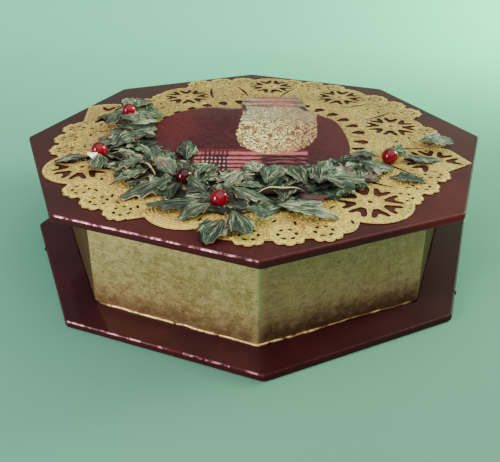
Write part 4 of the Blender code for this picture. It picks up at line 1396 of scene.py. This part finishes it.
def leaf_shape(length, width, rise, fold, ripple, steps=SPINE_STEPS, across_steps=ACROSS_STEPS):
    """A holly leaf along +X: spiny rim, arched midrib, folded and rippled halves."""
    builder = bmesh.new()
    spots = builder.loops.layers.uv.new("leaf")
    turn = math.radians(rise) * 2
    lift = math.radians(LEAF_FOLD) * fold
    count = LEAF_SPINES * steps + 1
    rows = []
    for station in range(count):
        share = station / (count - 1)
        slope = turn / 2 - turn * share
        along = length * (math.sin(turn / 2) - math.sin(slope)) / turn
        height = length * (math.cos(slope) - math.cos(turn / 2)) / turn
        spine = (1 - abs(2 * (share * LEAF_SPINES % 1) - 1)) ** SPINE_SHARPNESS
        swell = math.sin(math.pi * share ** LEAF_FULLNESS)
        half = max(LEAF_STALK / 2, width / 2 * swell * (LEAF_BAY + (1 - LEAF_BAY) * spine))
        row = []
        for step in range(-across_steps, across_steps + 1):
            reach = step / across_steps
            side = abs(reach)
            phase = 0.9 if step > 0 else 2.4
            wave = math.sin(math.tau * LEAF_SPINES * share + phase) * ripple * width
            droop = half * side ** 1.5 * math.sin(lift) + wave * side ** 2 * swell
            row.append(builder.verts.new((along + LEAF_SWEEP * length * spine * side ** 2,
                                          reach * half * math.cos(lift), height + droop)))
        rows.append(row)
    sheet_faces(builder, spots, rows)
    return builder


def lip_mesh(name, ground, lip):
    """A strip that lies flat at its back, rises to a wavy crest and bends down again at its front."""
    start = Vector(lip[0:2]) * PLACE_UNIT
    end = Vector(lip[2:4]) * PLACE_UNIT
    depth, rise, shade = lip[4] * MM, lip[5] * MM, lip[6]
    run = (end - start).normalized()
    back = Vector((-run.y, run.x))
    if back.y < 0:
        back = -back
    builder = bmesh.new()
    spots = builder.loops.layers.uv.new("leaf")
    crest, brow = LIP_CREST
    rows = []
    shades = []
    for step in range(LIP_STEPS + 1):
        share = step / LIP_STEPS
        place = start.lerp(end, share)
        taper = math.sin(math.pi * (0.04 + 0.92 * share)) ** LIP_TAPER
        wave = 1 + LIP_WAVE * math.sin(share * 9.0 + lip[0])
        row = []
        for part in range(LIP_ROWS + 1):
            ahead = part / LIP_ROWS
            spot = place + back * depth * (1 - ahead) * taper
            height = ground + rise * taper * wave * math.sin(ahead * LIP_BEND)
            row.append(builder.verts.new((spot.x, spot.y, height)))
            shades.append(1.0 if shade > LIP_PALE_SHADE and crest <= part <= brow else shade)
        rows.append(row)
    sheet_faces(builder, spots, rows, *LIP_MAP)
    for number, face in enumerate(builder.faces):
        # The front that bends down takes the third finish, painted dark as the shade of the hollow beneath
        face.material_index = 2 if number % LIP_ROWS >= brow else 0
    bmesh.ops.recalc_face_normals(builder, faces=builder.faces)
    if sum(face.normal.z for face in builder.faces) < 0:
        bmesh.ops.reverse_faces(builder, faces=builder.faces)
    mesh = to_mesh(name, builder)
    paint_shade(mesh, shades)
    return mesh


def leaf_rest(node, place, heading):
    """Height and pitch, in radians, at which a leaf of the frame lies."""
    points = node_points(node)
    away = Matrix.Rotation(-math.radians(heading), 3, "Z")
    local = (points - (place[0], place[1], 0)) @ np.array(away).T
    stalk = local[np.abs(local[:, 0]) < MM]
    tip = local[local[:, 0] > np.max(local[:, 0]) - 0.5 * MM]
    run = tip[:, 0].mean() - stalk[:, 0].mean()
    return stalk[:, 2].mean(), math.atan2(tip[:, 2].mean() - stalk[:, 2].mean(), run)


def paint_shade(mesh, shade):
    """Store one shade for the whole piece, or one for each of its points."""
    values = mesh.attributes.new("shade", "FLOAT", "POINT")
    values.data.foreach_set("value", np.zeros(len(mesh.vertices), np.float32) + np.float32(shade))


def thicken(piece, thickness, back=2, rim=1):
    """Turn an open cut-out into card with its own back and cut edge."""
    card = piece.modifiers.new("Card", "SOLIDIFY")
    card.thickness = thickness
    card.offset = -1
    card.material_offset = back
    card.material_offset_rim = rim
    mesh = baked_mesh(piece)
    piece.modifiers.remove(card)
    piece.data = mesh
    return piece


def ball_mesh(name, centre, radius, flat):
    """A smooth bead with a flat back."""
    ball = bmesh.new()
    bmesh.ops.create_uvsphere(ball, u_segments=BERRY_SEGMENTS, v_segments=BERRY_RINGS, radius=radius)
    cut = bmesh.ops.bisect_plane(ball, geom=ball.verts[:] + ball.edges[:] + ball.faces[:],
                                 plane_co=(0, 0, flat), plane_no=(0, 0, 1), clear_inner=True)
    rim = [part for part in cut["geom_cut"] if isinstance(part, bmesh.types.BMEdge)]
    smooth_faces(ball)
    bmesh.ops.contextual_create(ball, geom=rim)
    bmesh.ops.recalc_face_normals(ball, faces=ball.faces)
    bmesh.ops.translate(ball, verts=ball.verts, vec=centre)
    return to_mesh(name, ball)


def trimmed_copy(name, node, end, material):
    """A solid of the frame redone without what lies beyond a distance to the right."""
    builder = welded(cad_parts[node].data)
    whole = builder.verts[:] + builder.edges[:] + builder.faces[:]
    cut = bmesh.ops.bisect_plane(builder, geom=whole, plane_co=(end, 0, 0), plane_no=(1, 0, 0),
                                 clear_outer=True)
    bmesh.ops.holes_fill(builder, edges=[part for part in cut["geom_cut"]
                                         if isinstance(part, bmesh.types.BMEdge)])
    mesh = to_mesh(name, builder)
    mesh.materials.clear()
    return link_piece(name, mesh, material)


class KEEPSAKE_OT_boards(bpy.types.Operator):
    """Make the lacquered lid and base board"""

    bl_idname = "keepsake.boards"
    bl_label = "Lacquered Boards"

    def execute(self, context):
        material = lacquer_material(context.scene.keepsake_lacquer)
        for node, name, turn in (("lid", "lid_board", 0.0), ("base_board", "foot_board", BASE_TURN)):
            low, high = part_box(node)
            if node == "lid":
                low.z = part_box("tray")[1].z + BOARD_GAP
            mesh = board_mesh(name, flat_distance(node, turn), low.z, high.z, turn)
            settle(link_piece(name, mesh, material), "burgundy_lacquer", node)
        plug = node_points("lid")
        plug = plug[plug[:, 2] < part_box("lid")[0].z + MM]
        mesh = board_mesh("lid_plug", flat_reach(plug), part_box("lid")[0].z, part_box("tray")[1].z + PLUG_REACH)
        settle(link_piece("lid_plug", mesh, material), "burgundy_lacquer")
        return {"FINISHED"}


class KEEPSAKE_OT_tray(bpy.types.Operator):
    """Paint the tray gold and run a bead of paint round its foot"""

    bl_idname = "keepsake.tray"
    bl_label = "Gold Tray"

    def execute(self, context):
        settings = context.scene.keepsake_gold
        material = gold_material(settings)
        repaint("tray", material)
        foot = bmesh.new()
        radius = flat_distance("tray") / math.cos(HALF_SIDE_ANGLE)
        bmesh.ops.create_circle(foot, segments=SIDES, radius=radius)
        bmesh.ops.translate(foot, verts=foot.verts, vec=(0, 0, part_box("tray")[0].z + FOOT_BEAD_RISE))
        bead = grow("foot_paint_bead", to_mesh("foot_line", foot), foot_bead_tree(), {
            "Radius": settings.bead_radius, "Step": FOOT_BEAD_STEP,
            "Material": bead_gold_material(settings)})
        settle(bead, "gold_paint")
        return {"FINISHED"}


class KEEPSAKE_OT_lace(bpy.types.Operator):
    """Cut the paper lace and emboss it"""

    bl_idname = "keepsake.lace"
    bl_label = "Paper Lace"

    def execute(self, context):
        settings = context.scene.keepsake_lace
        material = lace_material(settings)
        low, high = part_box("doily")
        rim = rim_outline(settings)
        holes = lace_holes(settings)
        sheet = flat_piece("paper_lace", [rim] + holes, low.z, high.z, material)
        settle(sheet, "gold_paper", "doily")
        marks = bmesh.new()
        for dot in embossed_dots(settings, rim, holes):
            marks.verts.new((dot.real, dot.imag, high.z))
        for run in embossed_lines(settings, holes):
            corners = [marks.verts.new((spot.real, spot.imag, high.z)) for spot in run]
            for pair in zip(corners, corners[1:]):
                marks.edges.new(pair)
        embossing = grow("lace_embossing", to_mesh("lace_marks", marks), emboss_tree(), {
            "Dot Radius": settings.dot_radius, "Ridge Radius": settings.ridge_radius, "Seed": DOT_SEED,
            "Material": material})
        settle(embossing, "gold_paper")
        return {"FINISHED"}


class KEEPSAKE_OT_picture(bpy.types.Operator):
    """Print the picture card"""

    bl_idname = "keepsake.picture"
    bl_label = "Printed Card"

    def execute(self, context):
        material = picture_material(context.scene.keepsake_picture)
        outline = np.array([complex(x, y) for x, y in PICTURE_OUTLINE]) * MM
        low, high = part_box("picture_card")
        card = flat_piece("printed_picture", [softened(softened(outline))], low.z, high.z, material)
        settle(card, "printed_card", "picture_card")
        return {"FINISHED"}


class KEEPSAKE_OT_garland(bpy.types.Operator):
    """Strew the garland's small printed leaves"""

    bl_idname = "keepsake.garland"
    bl_label = "Holly Garland"

    def execute(self, context):
        settings = context.scene.keepsake_holly
        material = shared_holly(settings)
        ground = trimmed_copy("garland_ground", "garland_card", GARLAND_END, garland_card_material(settings))
        settle(ground, "printed_holly", "garland_card")
        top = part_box("garland_card")[1].z
        surface = welded(ground.data)
        under = [face for face in surface.faces if face.calc_center_median().z < top - 10 * WELD
                 or face.normal.z < 0.5]
        bmesh.ops.delete(surface, geom=under, context="FACES")
        marks = bmesh.new()
        for x, y, _, _ in HOLLOWS:
            marks.verts.new((x * PLACE_UNIT, y * PLACE_UNIT, top))
        clearings = link_piece("sprig_clearings", to_mesh("sprig_clearings", marks))
        leaf = leaf_shape(settings.sprig_length, settings.sprig_width, SPRIG_RISE, 1, settings.ripple,
                          SPRIG_SPINE_STEPS, SPRIG_ACROSS_STEPS)
        bmesh.ops.translate(leaf, verts=leaf.verts, vec=(-settings.sprig_length / 2, 0, 0))
        pattern = link_piece("sprig_pattern", to_mesh("sprig_pattern", leaf))
        garland = grow("garland_sprigs", to_mesh("garland_surface", surface), sprig_tree(), {
            "Leaf": pattern, "Clearings": clearings, "Spacing": settings.sprig_spacing,
            "Margin": settings.sprig_width / 2, "Clearance": SPRIG_CLEARANCE, "Seed": settings.seed,
            "Material": material})
        bpy.data.objects.remove(pattern)
        bpy.data.objects.remove(clearings)
        settle(garland, "printed_holly")
        return {"FINISHED"}


class KEEPSAKE_OT_leaves(bpy.types.Operator):
    """Cut and curl the printed holly leaves"""

    bl_idname = "keepsake.leaves"
    bl_label = "Holly Leaves"

    def execute(self, context):
        settings = context.scene.keepsake_holly
        top = shared_holly(settings)
        edge = card_material("cut_edge_finish", settings.cut_edge, CUT_EDGE_DEEP, 0.46, 0.62)
        back = card_material("card_back_finish", *CARD_BACK)
        for number, leaf in enumerate(LEAVES, 1):
            place_x, place_y, heading, length, width, rise, fold, shade = leaf
            node = f"leaf_{number:02d}"
            place = (place_x * PLACE_UNIT, place_y * PLACE_UNIT)
            height, pitch = leaf_rest(node, place, heading)
            builder = leaf_shape(length * MM, width * MM, rise, fold, settings.ripple)
            turn = Matrix.Rotation(math.radians(heading), 4, "Z") @ Matrix.Rotation(-pitch, 4, "Y")
            bmesh.ops.transform(builder, matrix=Matrix.Translation((*place, height)) @ turn,
                                verts=builder.verts)
            mesh = to_mesh(f"holly_{node}", builder)
            paint_shade(mesh, shade)
            piece = thicken(link_piece(mesh.name, mesh, top, edge, back), LEAF_THICKNESS)
            settle(piece, "printed_holly", node)
        return {"FINISHED"}


class KEEPSAKE_OT_berries(bpy.types.Operator):
    """Set the red bead berries"""

    bl_idname = "keepsake.berries"
    bl_label = "Bead Berries"

    def execute(self, context):
        material = bead_material(context.scene.keepsake_beads)
        for number in range(1, BERRY_COUNT + 1):
            node = f"berry_{number}"
            low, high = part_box(node)
            radius = (high.x - low.x) / 2
            centre = Vector(((low.x + high.x) / 2, (low.y + high.y) / 2, high.z - radius))
            rest = low.z if high.x < GARLAND_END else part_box("doily")[1].z
            mesh = ball_mesh(f"bead_{node}", centre, radius, rest - centre.z)
            settle(link_piece(mesh.name, mesh, material), "red_bead", node)
        return {"FINISHED"}


class KEEPSAKE_OT_trims(bpy.types.Operator):
    """Add the lifted lips, the paper fleck and the nubs of lacquer"""

    bl_idname = "keepsake.trims"
    bl_label = "Small Trims"

    def execute(self, context):
        settings = context.scene.keepsake_holly
        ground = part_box("garland_card")[1].z + LIP_THICKNESS
        top = shared_holly(settings)
        edge = bpy.data.materials["cut_edge_finish"]
        # Painted shade for the lips' fronts that bend down and for their undersides
        back = card_material("hollow_finish", *LIP_HOLLOW_SHADE)
        for number, lip in enumerate(LIPS, 1):
            piece = link_piece(f"lifted_lip_{number}", lip_mesh(f"lifted_lip_{number}", ground, lip),
                               top, edge, back)
            settle(thicken(piece, LIP_THICKNESS), "printed_holly")
        fleck = bmesh.new()
        corners = [Vector(spot) * PLACE_UNIT for spot in FLECK]
        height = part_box("garland_card")[1].z + FLECK_RISE
        fleck.faces.new([fleck.verts.new((*spot, height)) for spot in corners])
        # The fleck glows as painted light
        paper = card_material("fleck_finish", *FLECK_PAPER, glow=FLECK_GLOW)
        piece = link_piece("paper_fleck", to_mesh("paper_fleck", fleck), paper)
        settle(thicken(piece, LIP_THICKNESS, 0, 0), "printed_holly")
        nubs = bmesh.new()
        for x, y, radius in NUBS:
            place = Matrix.Translation((x, y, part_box("base_board")[1].z - radius * NUB_DEPTH))
            bmesh.ops.create_icosphere(nubs, subdivisions=3, radius=radius, matrix=place)
        smooth_faces(nubs)
        dark = card_material("nub_finish", *NUB_LACQUER)
        settle(link_piece("lacquer_nubs", to_mesh("lacquer_nubs", nubs), dark), "burgundy_lacquer")
        return {"FINISHED"}


def link_aimed(name, data, matrix):
    """Put a light or camera into the scene as its matrix says."""
    item = bpy.data.objects.new(name, data)
    item.matrix_world = matrix
    bpy.context.scene.collection.objects.link(item)
    return item


def add_softbox(name, power, place, target, width, height, color):
    """An oblong soft light at a place that looks at a target."""
    light = bpy.data.lights.new(name, "AREA")
    light.shape = "RECTANGLE"
    light.size = width
    light.size_y = height
    light.energy = power
    light.color = color
    look = (Vector(target) - Vector(place)).to_track_quat("-Z", "Y")
    link_aimed(name, light, Matrix.Translation(place) @ look.to_matrix().to_4x4())


def add_camera():
    """The photograph's camera, from its fitted place, pitch, yaw, roll and focal length."""
    pitch, yaw, roll = (math.radians(value) for value in (CAMERA_PITCH, CAMERA_YAW, CAMERA_ROLL))
    forward = Vector((math.sin(yaw) * math.cos(pitch), math.cos(yaw) * math.cos(pitch), -math.sin(pitch)))
    right = forward.cross(Vector((0, 0, 1))).normalized()
    up = right.cross(forward)
    leaned_right = right * math.cos(roll) + up * math.sin(roll)
    leaned_up = up * math.cos(roll) - right * math.sin(roll)
    turn = Matrix((leaned_right, leaned_up, -forward)).transposed()
    camera = bpy.data.cameras.new("photo_camera")
    camera.sensor_width = SENSOR_WIDTH
    camera.lens = CAMERA_FOCAL_PIXELS * SENSOR_WIDTH / PHOTO_WIDTH
    item = link_aimed("photo_camera", camera, Matrix.Translation(CAMERA_PLACE) @ turn.to_4x4())
    bpy.context.scene.camera = item


def sweep_mesh(name, half_width, front, back, rise, bend, steps=24):
    """A floor that curves up behind the box, as one sheet."""
    profile = [(-front, 0.0)]
    for step in range(steps + 1):
        turn = math.acos(1 - rise / bend) * step / steps
        profile.append((back - bend + bend * math.sin(turn), bend - bend * math.cos(turn)))
    builder = bmesh.new()
    lines = [[builder.verts.new((x, y, z)) for x in (-half_width, half_width)] for y, z in profile]
    for near, far in zip(lines, lines[1:]):
        builder.faces.new((near[0], near[1], far[1], far[0]))
    smooth_faces(builder)
    return to_mesh(name, builder)


class KEEPSAKE_OT_stage(bpy.types.Operator):
    """Set the backdrop, the lights and the photograph's camera"""

    bl_idname = "keepsake.stage"
    bl_label = "Stage"

    def execute(self, context):
        settings = context.scene.keepsake_stage
        mesh = sweep_mesh("backdrop", half_width=3.0, front=3.0, back=0.62, rise=0.10, bend=0.25)
        sweep = link_piece("backdrop", mesh, backdrop_material(settings))
        world = bpy.data.worlds.new("room")
        world.use_nodes = True
        background = world.node_tree.nodes["Background"]
        background.inputs["Color"].default_value = (*settings.sky, 1.0)
        background.inputs["Strength"].default_value = settings.sky_strength
        context.scene.world = world
        for name, power, *shape in SOFTBOXES:
            add_softbox(name, getattr(settings, power), *shape)
        add_camera()
        return {"FINISHED"}


class KEEPSAKE_PT_panel(bpy.types.Panel):
    bl_idname = "KEEPSAKE_PT_panel"
    bl_label = "Keepsake Box"
    bl_space_type = "VIEW_3D"
    bl_region_type = "UI"
    bl_category = "Keepsake Box"

    def draw(self, context):
        for operator in OPERATORS:
            self.layout.operator(operator.bl_idname)
        for name in SETTINGS:
            group = getattr(context.scene, name)
            column = self.layout.column(heading=name)
            for setting in group.__annotations__:
                column.prop(group, setting)


SETTINGS = {
    "keepsake_lacquer": LacquerSettings,
    "keepsake_gold": GoldSettings,
    "keepsake_lace": LaceSettings,
    "keepsake_picture": PictureSettings,
    "keepsake_holly": HollySettings,
    "keepsake_beads": BeadSettings,
    "keepsake_stage": StageSettings,
}
OPERATORS = (
    KEEPSAKE_OT_boards,
    KEEPSAKE_OT_tray,
    KEEPSAKE_OT_lace,
    KEEPSAKE_OT_picture,
    KEEPSAKE_OT_garland,
    KEEPSAKE_OT_leaves,
    KEEPSAKE_OT_berries,
    KEEPSAKE_OT_trims,
    KEEPSAKE_OT_stage,
)


def register():
    for item in (*SETTINGS.values(), *OPERATORS, KEEPSAKE_PT_panel):
        bpy.utils.register_class(item)
    for name, group in SETTINGS.items():
        setattr(bpy.types.Scene, name, PointerProperty(type=group))


def unregister():
    for name in SETTINGS:
        delattr(bpy.types.Scene, name)
    for item in (KEEPSAKE_PT_panel, *reversed(OPERATORS), *SETTINGS.values()):
        bpy.utils.unregister_class(item)


def main():
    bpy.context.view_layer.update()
    register()
    for operator in OPERATORS:
        group, name = operator.bl_idname.split(".")
        getattr(getattr(bpy.ops, group), name)()


if __name__ == "__main__":
    main()
